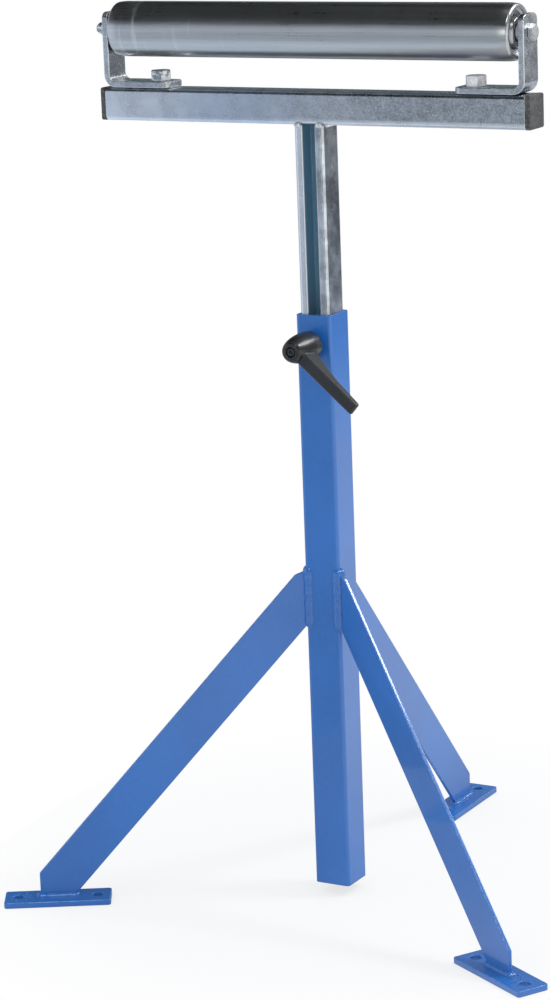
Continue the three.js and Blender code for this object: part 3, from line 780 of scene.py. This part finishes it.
TOP_SEED = 20
SPATTER_SEED = 30
LEG_SEED = 100
SPATTER_COUNT = 26
SPATTER_ALONG = (3, 34)
SPATTER_ACROSS = (-14, 14)
SPATTER_RADIUS = (0.7, 1.7)
SPATTER_SHAPE = (1.2, 1.0, 0.7, 1.0)
SPATTER_GAP = 2 * MM
BEAD_SEGMENTS = 16
RINGS_PER_RIPPLE = 4


def leg_turn(azimuth):
    """Turns a leg or a plate about the post."""
    return Matrix.Translation((POST_X, POST_Y, 0)) @ Matrix.Rotation(azimuth, 4, "Z")


def leg_bar(inner, offset, edge):
    """A flat bar on edge: sloping, level on the plate, cut upright outside, cropped at the post."""
    outline = [
        (0.0, LEG_LOW), (LEG_TOE, PLATE_TOP), (LEG_REACH, PLATE_TOP),
        (LEG_REACH, PLATE_TOP + LEG_UPRIGHT_CUT),
        (LEG_CORNER_REACH, LEG_TOP - LEG_CORNER_REACH * LEG_RISE), (0.0, LEG_CORNER),
    ]
    outline = [(inner + x, z) for x, z in outline]
    mesh = slab(outline, offset - LEG_THICKNESS / 2, LEG_THICKNESS)
    round_edges(mesh, edge)
    return mesh


def foot_plate(along, across, edge):
    """A plate with rounded corners and a hole near each end, its middle at along and across."""
    low = (along - PLATE_LENGTH / 2, across - PLATE_WIDTH / 2, 0.0)
    high = (along + PLATE_LENGTH / 2, across + PLATE_WIDTH / 2, PLATE_THICKNESS)
    mesh = block(low, high)
    rounded_along(mesh, upright_edges(mesh, 2), PLATE_CORNER)
    for end in (-1, 1):
        place = Matrix.Translation((along + end * PLATE_HOLE_SPACING / 2, across, 0.0))
        mesh = drilled(mesh, place, PLATE_HOLE, 4 * PLATE_THICKNESS)
    round_edges(mesh, edge)
    return mesh


def weld_bead(start, end, radius, sizes, seed):
    """A rippled bead with round ends from start to end."""
    dice = random.Random(seed)
    start, end = Vector(start), Vector(end)
    length = (end - start).length
    ripples = max(2, round(length / sizes.weld_pitch))
    tip, shoulder = radius * BEAD_TIP, radius * BEAD_SHOULDER
    profile = [(-tip, 0.0), (-shoulder, shoulder)]
    heights = [1.0 + dice.uniform(-BEAD_UNEVEN, BEAD_UNEVEN) for _ in range(ripples + 2)]
    for ring in range(ripples * RINGS_PER_RIPPLE + 1):
        ripple = ring // RINGS_PER_RIPPLE
        phase = (ring % RINGS_PER_RIPPLE) / RINGS_PER_RIPPLE
        lump = heights[ripple] + (heights[ripple + 1] - heights[ripple]) * phase
        swell = lump - sizes.weld_ripple * (1.0 - math.sin(math.pi * phase))
        profile.append((length * ring / (ripples * RINGS_PER_RIPPLE), radius * swell))
    profile += [(length + shoulder, shoulder), (length + tip, 0.0)]
    turn = (end - start).to_track_quat("X", "Z").to_matrix().to_4x4()
    return turned(profile, BEAD_SEGMENTS, Matrix.Translation(start) @ turn)


def spatter(place, radius):
    """A drop of weld metal on a plate."""
    mesh = bmesh.new()
    shape = Matrix.Translation(place) @ Matrix.Diagonal(SPATTER_SHAPE)
    bmesh.ops.create_uvsphere(mesh, u_segments=8, v_segments=5, radius=radius, matrix=shape)
    smooth(mesh)
    return mesh


def leg_welds(inner, offset, sunk, sizes, seed):
    """Beads between a leg and the post, across the leg's top, and between the leg and its plate."""
    root = inner - sunk
    beads = []
    for index, side in enumerate((-1, 1)):
        flank = offset + side * (LEG_THICKNESS / 2 + BEAD_ASIDE)
        run = ((root, flank, LEG_LOW - BEAD_BELOW), (root, flank, LEG_CORNER - BEAD_STOP))
        beads.append(weld_bead(*run, POST_BEAD, sizes, seed + index))
        flank = offset + side * (LEG_THICKNESS / 2 - FOOT_BEAD_SUNK)
        level = PLATE_TOP - FOOT_BEAD_SUNK
        run = (
            (inner + LEG_TOE - FOOT_BEAD_PAST, flank, level),
            (inner + LEG_REACH + FOOT_BEAD_PAST, flank, level),
        )
        beads.append(weld_bead(*run, FOOT_BEAD, sizes, seed + FOOT_SEED + index))
    level = LEG_CORNER - BEAD_STOP
    reach = LEG_THICKNESS / 2
    run = ((root, offset - reach, level), (root, offset + reach, level))
    beads.append(weld_bead(*run, POST_BEAD, sizes, seed + TOP_SEED))
    dice = random.Random(seed + SPATTER_SEED)
    hole = inner + (LEG_TOE + LEG_REACH) / 2 + PLATE_HOLE_SPACING / 2
    for _ in range(SPATTER_COUNT):
        along = inner + LEG_REACH + dice.uniform(*SPATTER_ALONG) * MM
        across = offset + dice.uniform(*SPATTER_ACROSS) * MM
        if math.hypot(along - hole, across - offset) > PLATE_HOLE + SPATTER_GAP:
            radius = dice.uniform(*SPATTER_RADIUS) * MM
            beads.append(spatter((along, across, PLATE_THICKNESS), radius))
    return joined(beads)


class STAND_OT_foot(bpy.types.Operator):
    """Round and paint the post, the foot plates and the clamp boss"""

    bl_idname = "stand.foot"
    bl_label = "Post and plates"

    def execute(self, context):
        sizes = context.scene.stand_sizes
        paint = finish_of(context, "blue_powder_coat")
        post = box_tube(POST_LOW, POST_HIGH, 2, POST_CORNER, POST_WALL)
        round_edges(post, sizes.tube_edge)
        hole = Matrix.Translation((POST_X, POST_LOW[1], CLAMP_Z))
        hole = hole @ Matrix.Rotation(math.pi / 2, 4, "X")
        post = drilled(post, hole, STUD_HOLE, POST_WALL * 3)
        add_for_node("post", post, paint, "post_tube")
        for place, (azimuth, inner, offset) in LEGS.items():
            plate = foot_plate(inner + (LEG_TOE + LEG_REACH) / 2, offset, sizes.bar_edge)
            bmesh.ops.transform(plate, matrix=leg_turn(azimuth), verts=plate.verts)
            add_for_node(f"plate_{place}", plate, paint, f"foot_plate_{place}")
        rounded_node("boss_nut", "clamp_boss", paint, sizes.small_edge, 3)
        return {"FINISHED"}


class STAND_OT_legs(bpy.types.Operator):
    """Make the legs with rounded edges and weld them on"""

    bl_idname = "stand.legs"
    bl_label = "Legs and welds"

    def execute(self, context):
        sizes = context.scene.stand_sizes
        paint = finish_of(context, "blue_powder_coat")
        for seed, (place, (azimuth, inner, offset)) in enumerate(LEGS.items()):
            turn = leg_turn(azimuth)
            bar = leg_bar(inner, offset, sizes.bar_edge)
            bmesh.ops.transform(bar, matrix=turn, verts=bar.verts)
            add_for_node(f"bar_{place}", bar, paint, f"leg_{place}")
            welds = leg_welds(inner, offset, BEAD_SUNK[place], sizes, LEG_SEED * seed)
            bmesh.ops.transform(welds, matrix=turn, verts=welds.verts)
            add_piece(f"welds_{place}", welds, paint, "stand", [])
        return {"FINISHED"}


def channel_mesh(sizes):
    """A strip folded into a lipped channel with its slot to the front."""
    mesh = bmesh.new()
    half = CHANNEL_HALF
    side = [(CHANNEL_SLOT_HALF, -half), (half, -half), (half, half)]
    walk = side + [(-x, y) for x, y in reversed(side)]
    points = [mesh.verts.new((POST_X + x, POST_Y + y, CHANNEL_LOW[2])) for x, y in walk]
    strip = [mesh.edges.new(pair) for pair in zip(points, points[1:])]
    height = CHANNEL_HIGH[2] - CHANNEL_LOW[2]
    move_grown(mesh, bmesh.ops.extrude_edge_only(mesh, edges=strip), (0, 0, height))
    back = max(mesh.faces, key=lambda face: face.calc_center_median().y)
    if back.normal.y < 0:
        bmesh.ops.reverse_faces(mesh, faces=mesh.faces)
    bends = [edge for edge in upright_edges(mesh, 2) if len(edge.link_faces) == 2]
    rounded_along(mesh, bends, CHANNEL_BEND)
    bmesh.ops.solidify(mesh, geom=mesh.faces[:], thickness=CHANNEL_WALL)
    face_outwards(mesh)
    round_edges(mesh, sizes.tube_edge)
    return mesh


CHANNEL_BEAD = 3.2 * MM
LIP_BEAD_START = 13 * MM
LIP_BEAD_END = 17 * MM
FLANK_SEED = 300
LIP_SEED = 310


def channel_welds(sizes):
    """Beads between the channel and the crossbar, on both flanks and both lips."""
    half = CHANNEL_HALF
    front = POST_Y - half
    top = CHANNEL_HIGH[2]
    beads = []
    for seed, side in enumerate((-1, 1)):
        run = ((side * half, POST_Y - half / 2, top), (side * half, POST_Y + half / 2, top))
        beads.append(weld_bead(*run, CHANNEL_BEAD, sizes, FLANK_SEED + seed))
        run = ((side * LIP_BEAD_START, front, top), (side * LIP_BEAD_END, front, top))
        beads.append(weld_bead(*run, CHANNEL_BEAD, sizes, LIP_SEED + seed))
    return joined(beads)


class STAND_OT_mast(bpy.types.Operator):
    """Round and plate the channel and the crossbar, weld them together, fit the end caps"""

    bl_idname = "stand.mast"
    bl_label = "Channel and crossbar"

    def execute(self, context):
        sizes = context.scene.stand_sizes
        channel = channel_mesh(sizes)
        plate = finish_of(context, "zinc_channel")
        add_for_node("channel", channel, plate, "mast_channel")
        welds = channel_welds(sizes)
        fixing = finish_of(context, "zinc_fixing")
        add_piece("channel_welds", welds, fixing, "mast", [])
        bar = box_tube(BAR_LOW, BAR_HIGH, 0, BAR_CORNER, BAR_WALL)
        round_edges(bar, sizes.bar_edge)
        for end in (-1, 1):
            hole = Matrix.Translation((end * BOLT_X, POST_Y, BAR_HIGH[2]))
            bar = drilled(bar, hole, BAR_HOLE, BAR_WALL * 3)
        add_for_node("bar", bar, finish_of(context, "zinc_bar"), "crossbar")
        plastic = finish_of(context, "moulded_black")
        for side in ("left", "right"):
            rounded_node(f"cap_{side}", f"end_cap_{side}", plastic, sizes.small_edge / 2)
        return {"FINISHED"}


BRACKET_LOW, BRACKET_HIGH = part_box("bracket_right")
BRACKET_THICKNESS = 8 * MM
BRACKET_INNER_BEND = 8 * MM
BRACKET_CORNER = 9 * MM
BRACKET_AXLE_HOLE = 6.3 * MM
CREASE_NEAR = MM / 10


def bracket_mesh(side, edge):
    """Flat bar bent to an angle, its free corners rounded, with its bolt hole and axle hole."""
    inside, low, outside, high = BRACKET_LOW[0], BRACKET_LOW[2], BRACKET_HIGH[0], BRACKET_HIGH[2]
    outline = [
        (outside, low), (outside, high), (outside - BRACKET_THICKNESS, high),
        (outside - BRACKET_THICKNESS, low + BRACKET_THICKNESS),
        (inside, low + BRACKET_THICKNESS), (inside, low),
    ]
    mesh = slab(outline, BRACKET_LOW[1], BRACKET_HIGH[1] - BRACKET_LOW[1])
    ends = [
        bar_end
        for axis, across, limit in ((0, 2, high), (2, 0, inside))
        for bar_end in upright_edges(mesh, axis)
        if abs(bar_end.verts[0].co[across] - limit) < SAME_PLACE
    ]
    rounded_along(mesh, ends, BRACKET_CORNER)
    for corner, radius in (
        (Vector(outline[0]), BRACKET_INNER_BEND + BRACKET_THICKNESS),
        (Vector(outline[3]), BRACKET_INNER_BEND),
    ):
        creases = [
            crease
            for crease in upright_edges(mesh, 1)
            if (crease.verts[0].co.xz - corner).length < CREASE_NEAR
        ]
        rounded_along(mesh, creases, radius)
    round_edges(mesh, edge)
    bolt = Matrix.Translation((BOLT_X, POST_Y, low))
    mesh = drilled(mesh, bolt, BAR_HOLE, BRACKET_THICKNESS * 4)
    axle = Matrix.Translation((outside, POST_Y, AXLE_Z)) @ Matrix.Rotation(math.pi / 2, 4, "Y")
    mesh = drilled(mesh, axle, BRACKET_AXLE_HOLE, BRACKET_THICKNESS * 4)
    if side == "left":
        bmesh.ops.scale(mesh, vec=(-1, 1, 1), verts=mesh.verts)
        bmesh.ops.reverse_faces(mesh, faces=mesh.faces)
    return mesh


class STAND_OT_brackets(bpy.types.Operator):
    """Round and plate the brackets, their bolts and the axle's fixings"""

    bl_idname = "stand.brackets"
    bl_label = "Brackets and fixings"

    def execute(self, context):
        sizes = context.scene.stand_sizes
        plate = finish_of(context, "zinc_bracket")
        fixing = finish_of(context, "zinc_fixing")
        for side in ("left", "right"):
            bracket = bracket_mesh(side, sizes.bar_edge)
            add_for_node(f"angle_{side}", bracket, plate, f"bracket_{side}")
            for name in ("bracket_bolt", "bracket_nut", "axle_spacer"):
                node = f"{name}_{side}"
                rounded_node(f"{node}_plated", node, fixing, sizes.small_edge)
        for node in ("axle_bolt", "axle_cap_nut"):
            rounded_node(f"{node}_plated", node, fixing, sizes.small_edge)
        return {"FINISHED"}


ROLLER_WALL = 3 * MM
ROLLER_BEND = 3.5 * MM
ROLLER_LIP = 3 * MM
BEND_STEPS = 8
ROLLER_FALL = 0.8 * MM
ROLLER_FALL_LENGTH = 13 * MM
FALL_STEPS = 8


class STAND_OT_roller(bpy.types.Operator):
    """Turn the roller tube with its rolled-in ends, finish the housings and bearings"""

    bl_idname = "stand.roller"
    bl_label = "Roller and bearings"

    def execute(self, context):
        sizes = context.scene.stand_sizes
        along, radius = ROLLER_HALF - ROLLER_BEND, ROLLER_RADIUS - ROLLER_BEND
        outer = arc(along, radius - ROLLER_FALL, ROLLER_BEND, 0, math.pi / 2, BEND_STEPS)
        inner = arc(along, radius, ROLLER_BEND - ROLLER_WALL, math.pi / 2, 0, BEND_STEPS)
        lip = radius - ROLLER_LIP
        shares = [step / FALL_STEPS for step in range(FALL_STEPS)]
        crown = [
            (along - ROLLER_FALL_LENGTH * (1 - share), ROLLER_RADIUS - ROLLER_FALL * share**2)
            for share in shares
        ]
        right = crown + outer + [(ROLLER_HALF, lip), (ROLLER_HALF - ROLLER_WALL, lip)] + inner
        left = [(-x, reach) for x, reach in reversed(right)]
        place = Matrix.Translation((0, POST_Y, AXLE_Z))
        tube = turned(right + left + right[:1], sizes.roller_steps, place)
        round_edges(tube, sizes.tube_edge)
        steel = finish_of(context, "drawn_steel")
        add_for_node("roller", tube, steel, "roller_tube")
        plate = finish_of(context, "zinc_housing_painted_shade")
        ground = finish_of(context, "ground_steel")
        rubber = finish_of(context, "moulded_black")
        edge = sizes.small_edge
        for side in ("left", "right"):
            rounded_node(f"housing_{side}", f"bearing_housing_{side}", plate, edge)
            for name in ("bearing_outer_ring", "bearing_inner_ring"):
                rounded_node(f"{name}_{side}_ground", f"{name}_{side}", ground, edge)
            rounded_node(f"seal_{side}", f"bearing_seal_{side}", rubber, edge)
        return {"FINISHED"}


CASTING_PASSES = 7
CASTING_SOFTNESS = 0.5


def cast_copy(node, grid):
    """A copy of a CAD node with its edges rounded as a casting's are."""
    mesh = node_copy(node)
    bmesh.ops.triangulate(mesh, faces=mesh.faces)
    mesh = after_modifier(mesh, "REMESH", {"mode": "VOXEL", "voxel_size": grid})
    for _ in range(CASTING_PASSES):
        bmesh.ops.smooth_vert(
            mesh, verts=mesh.verts, factor=CASTING_SOFTNESS, use_axis_x=True, use_axis_y=True,
            use_axis_z=True,
        )
    smooth(mesh)
    return mesh


class STAND_OT_clamp(bpy.types.Operator):
    """Cast the lever handle and finish its stud and screw"""

    bl_idname = "stand.clamp"
    bl_label = "Clamp lever"

    def execute(self, context):
        sizes = context.scene.stand_sizes
        node = "lever_handle"
        handle = cast_copy(node, sizes.casting_grid)
        coating = finish_of(context, "textured_black")
        add_piece("lever", handle, coating, BODIES[node], [node])
        for node, finish in (("clamp_stud", "zinc_fixing"), ("lever_screw", "blackened_steel")):
            rounded_node(f"{node}_finished", node, finish_of(context, finish), sizes.small_edge)
        return {"FINISHED"}


CAMERA_PLACE = (1.8426257, POST_Y - 3.3820017, 1.4391015)
CAMERA_TURN = math.radians(29.600161)
CAMERA_DIP = math.radians(13.299439)
CAMERA_ROLL = math.radians(-2.167887)
CAMERA_LENS = 111.3446
CAMERA_SENSOR = 36.0
KEY_PLACE = (1.53, 0.66, 2.64)
KEY_TARGET = (0.05, -0.15, 0.43)
KEY_SIZE = 0.7
KEY_POWER = 26.0
FLOOR_RADIUS = 2.2
FLOOR_STEPS = 96
FLOOR_PLACE = (1.66, 0.2, 0.0)
WHITE = (1.0, 1.0, 1.0)
SOFT_COOL = (0.86, 0.90, 0.98)
WINDOW_LEFT = (0.86, 0.95, 1.14)
WINDOW_MIDDLE = (0.22, 0.265, 0.33)
WINDOW_RIGHT = (0.45, 0.50, 0.52)
DIM_LOW = (0.036, 0.047, 0.054)
DIM_HIGH = (0.014, 0.017, 0.018)
WALL = (0.50, 0.53, 0.57)
CEILING = (0.55, 0.57, 0.60)
SHELF = (0.14, 0.20, 0.22)
SIDE_SCREEN = (0.95, 0.95, 0.97)
BACK_SCREEN = (0.3, 0.3, 0.32)
GROUND = (0.74, 0.86, 1.0)
GROUND_BEHIND = (0.88, 0.95, 1.12)


def key_lamp():
    """A round soft lamp from the upper right."""
    light = bpy.data.lights.new("key_lamp", "AREA")
    light.shape = "DISK"
    light.size = KEY_SIZE
    light.energy = KEY_POWER
    lamp = placed("key_lamp", light)
    lamp.location = KEY_PLACE
    aim = Vector(KEY_TARGET) - Vector(KEY_PLACE)
    lamp.rotation_euler = aim.to_track_quat("-Z", "Y").to_euler()
    return lamp


def ray(shade, kind):
    """1 for one kind of ray, 0 for the others."""
    return shade.node("LightPath", output=f"Is {kind} Ray")


def make_floor(colours):
    """A round matt floor that looks white but keeps the shadow near the stand."""
    mesh = bmesh.new()
    place = Matrix.Translation(FLOOR_PLACE)
    bmesh.ops.create_circle(
        mesh, cap_ends=True, segments=FLOOR_STEPS, radius=FLOOR_RADIUS, matrix=place
    )
    data = mesh_data("floor", mesh)
    floor = placed("floor", data)
    shade, place = new_material("pale_floor")
    length = shade.node("VectorMath", {"operation": "LENGTH"}, {0: place}, "Value")
    cloud = shade.noise(place, 3.0, 3.0)
    tone = shade.mix(cloud, colour(colours.floor, 0.985), colour(colours.floor, 1.015))
    x, y, _ = shade.parts(place)
    bright_side = x.above(-0.1, 0.5) + x.below(-1.5, -1.35) * y.above(0.2, 0.5)
    glossy = ray(shade, "Glossy")
    # To glossy rays the floor is painted dark away from its bright side: painted shade in what metal
    # mirrors.
    tone = shade.mix(glossy * (1.0 - bright_side) * 0.6, tone, colour(colours.floor, 0.15))
    plain = {"Base Color": tone, "Roughness": 1.0, "Specular IOR Level": 0.0}
    matt = shade.node("BsdfPrincipled", inputs=plain)
    white = shade.node("Emission", inputs={"Color": (*WHITE, 1.0), "Strength": 1.0})
    near = glossy * (0.2 + 0.8 * bright_side)
    seen = ray(shade, "Camera") + near + ray(shade, "Transmission")
    share = seen * (0.72 + 0.28 * length.above(0.35, 0.68))
    blend = shade.node("MixShader", inputs={0: share, 1: matt, 2: white})
    shade.node("OutputMaterial", inputs={"Surface": blend})
    material = bpy.data.materials["pale_floor"]
    material.cycles.emission_sampling = "NONE"
    data.materials.append(material)
    return floor


def mirrored_room(shade, x, y, z):
    """What metal mirrors: areas of directions, the later ones over the earlier ones."""
    front = y.below(-0.5, 0.0)
    low_front = front * z.below(0.24, 0.40)
    back = y.above(0.5, 0.7)
    window = shade.mix(x.above(-0.60, -0.50), WINDOW_LEFT, WINDOW_MIDDLE)
    window = shade.mix(x.above(-0.46, -0.34), window, WINDOW_RIGHT)
    left_wall = x.below(-0.82, -0.68) * z.above(-0.27, -0.21)
    rear_wall = y.above(0.45, 0.65) * x.between(-0.30, -0.20, 0.10, 0.20)
    shelf = back * x.between(-0.64, -0.56, -0.36, -0.30) * z.between(-0.01, 0.05, 0.16, 0.26)
    right_wall = x.above(0.80, 0.94) * z.between(-0.3, -0.15, 0.15, 0.3)
    front_screen = low_front * x.between(0.48, 0.58, 0.70, 0.86)
    side_screen = y.above(0.0, 0.3) * x.between(0.15, 0.36, 0.46, 0.56)
    side_screen = side_screen * z.between(-0.13, -0.03, 0.12, 0.25)
    back_screen = back * x.between(-0.52, -0.44, -0.4, -0.3) * z.between(0.28, 0.34, 0.42, 0.5)
    ground_behind = y.above(0.3, 0.6) * x.above(0.15, 0.4) * z.below(-0.21, -0.175)
    ground_left = y.above(0.2, 0.35) * x.between(-0.92, -0.84, -0.64, -0.56) * z.below(-0.28, -0.2)
    strip = y.above(0.35, 0.50) * x.between(0.34, 0.42, 0.62, 0.72)
    strip = strip * z.between(0.38, 0.48, 0.66, 0.76)
    glow = front * x.between(-0.28, -0.22, -0.12, -0.06) * z.between(-0.10, -0.02, 0.16, 0.26)
    overhead = y.between(-0.74, -0.64, -0.46, -0.36) * x.between(0.12, 0.20, 0.38, 0.46)
    overhead = overhead * z.above(0.66, 0.74)
    areas = (
        (left_wall, WALL), (rear_wall, WALL), (z.above(0.94, 0.98), CEILING), (shelf, SHELF),
        (low_front, window), (right_wall, colour(WHITE, 1.3)),
        (front_screen, colour(WHITE, 1.6)), (side_screen, SIDE_SCREEN),
        (back_screen, BACK_SCREEN), (z.below(-0.72, -0.45), GROUND),
        (ground_behind, GROUND_BEHIND), (ground_left, colour(WHITE, 1.3)),
        (strip, colour(WHITE, 10.5)), (glow, colour(WHITE, 4.0)), (overhead, colour(WHITE, 9.0)),
    )
    room = shade.mix(z.above(0.40, 0.60), DIM_LOW, DIM_HIGH)
    for share, tone in areas:
        room = shade.mix(share, room, tone)
    return room


def make_world():
    """White to the camera, even and soft to paint, a pale front window in a dim room to metal."""
    world = bpy.data.worlds.new("studio")
    bpy.context.scene.world = world
    world.use_nodes = True
    world.node_tree.nodes.clear()
    shade = Shade(world.node_tree)
    direction = shade.node("TexCoord", output="Generated")
    x, y, z = shade.parts(direction)
    soft = shade.mix(x.above(-1.0, 1.0), SOFT_COOL, WHITE)
    light = shade.mix(ray(shade, "Glossy"), soft, mirrored_room(shade, x, y, z))
    seen = ray(shade, "Camera") + ray(shade, "Transmission")
    light = shade.mix(seen, light, WHITE)
    back = shade.node("Background", inputs={"Color": light, "Strength": 1.0})
    world.cycles.sampling_method = "NONE"  # so that each kind of ray finds its own light
    shade.node("OutputWorld", inputs={"Surface": back})


class STAND_OT_stage(bpy.types.Operator):
    """Set the floor, the lamp, the background and the camera"""

    bl_idname = "stand.stage"
    bl_label = "Stage"

    def execute(self, context):
        scene = context.scene
        scene.view_settings.view_transform = "Standard"
        floor = make_floor(scene.stand_colours)
        make_world()
        key = key_lamp()
        data = bpy.data.cameras.new("camera")
        data.sensor_width = CAMERA_SENSOR
        data.sensor_height = CAMERA_SENSOR
        data.sensor_fit = "AUTO"
        data.lens = CAMERA_LENS
        camera = placed("camera", data)
        camera.matrix_world = (
            Matrix.Translation(CAMERA_PLACE)
            @ Matrix.Rotation(CAMERA_TURN, 4, "Z")
            @ Matrix.Rotation(math.pi / 2 - CAMERA_DIP, 4, "X")
            @ Matrix.Rotation(CAMERA_ROLL, 4, "Z")
        )
        scene.camera = camera
        return {"FINISHED"}


OPERATORS = (
    STAND_OT_foot, STAND_OT_legs, STAND_OT_mast, STAND_OT_brackets, STAND_OT_roller,
    STAND_OT_clamp, STAND_OT_stage,
)


class STAND_PT_panel(bpy.types.Panel):
    """Lists the steps that finish the roller stand"""

    bl_idname = "STAND_PT_panel"
    bl_label = "Roller stand"
    bl_space_type = "VIEW_3D"
    bl_region_type = "UI"
    bl_category = "Roller stand"

    def draw(self, context):
        column = self.layout.column()
        for group in (context.scene.stand_sizes, context.scene.stand_colours):
            for name in group.__annotations__:
                column.prop(group, name)
        for operator in OPERATORS:
            column.operator(operator.bl_idname)


CLASSES = (StandSizes, StandColours) + OPERATORS + (STAND_PT_panel,)


def register():
    for kind in CLASSES:
        bpy.utils.register_class(kind)
    bpy.types.Scene.stand_sizes = PointerProperty(type=StandSizes)
    bpy.types.Scene.stand_colours = PointerProperty(type=StandColours)


def unregister():
    del bpy.types.Scene.stand_colours
    del bpy.types.Scene.stand_sizes
    for kind in reversed(CLASSES):
        bpy.utils.unregister_class(kind)


def main():
    register()
    bpy.ops.stand.foot()
    bpy.ops.stand.legs()
    bpy.ops.stand.mast()
    bpy.ops.stand.brackets()
    bpy.ops.stand.roller()
    bpy.ops.stand.clamp()
    bpy.ops.stand.stage()


if __name__ == "__main__":
    main()
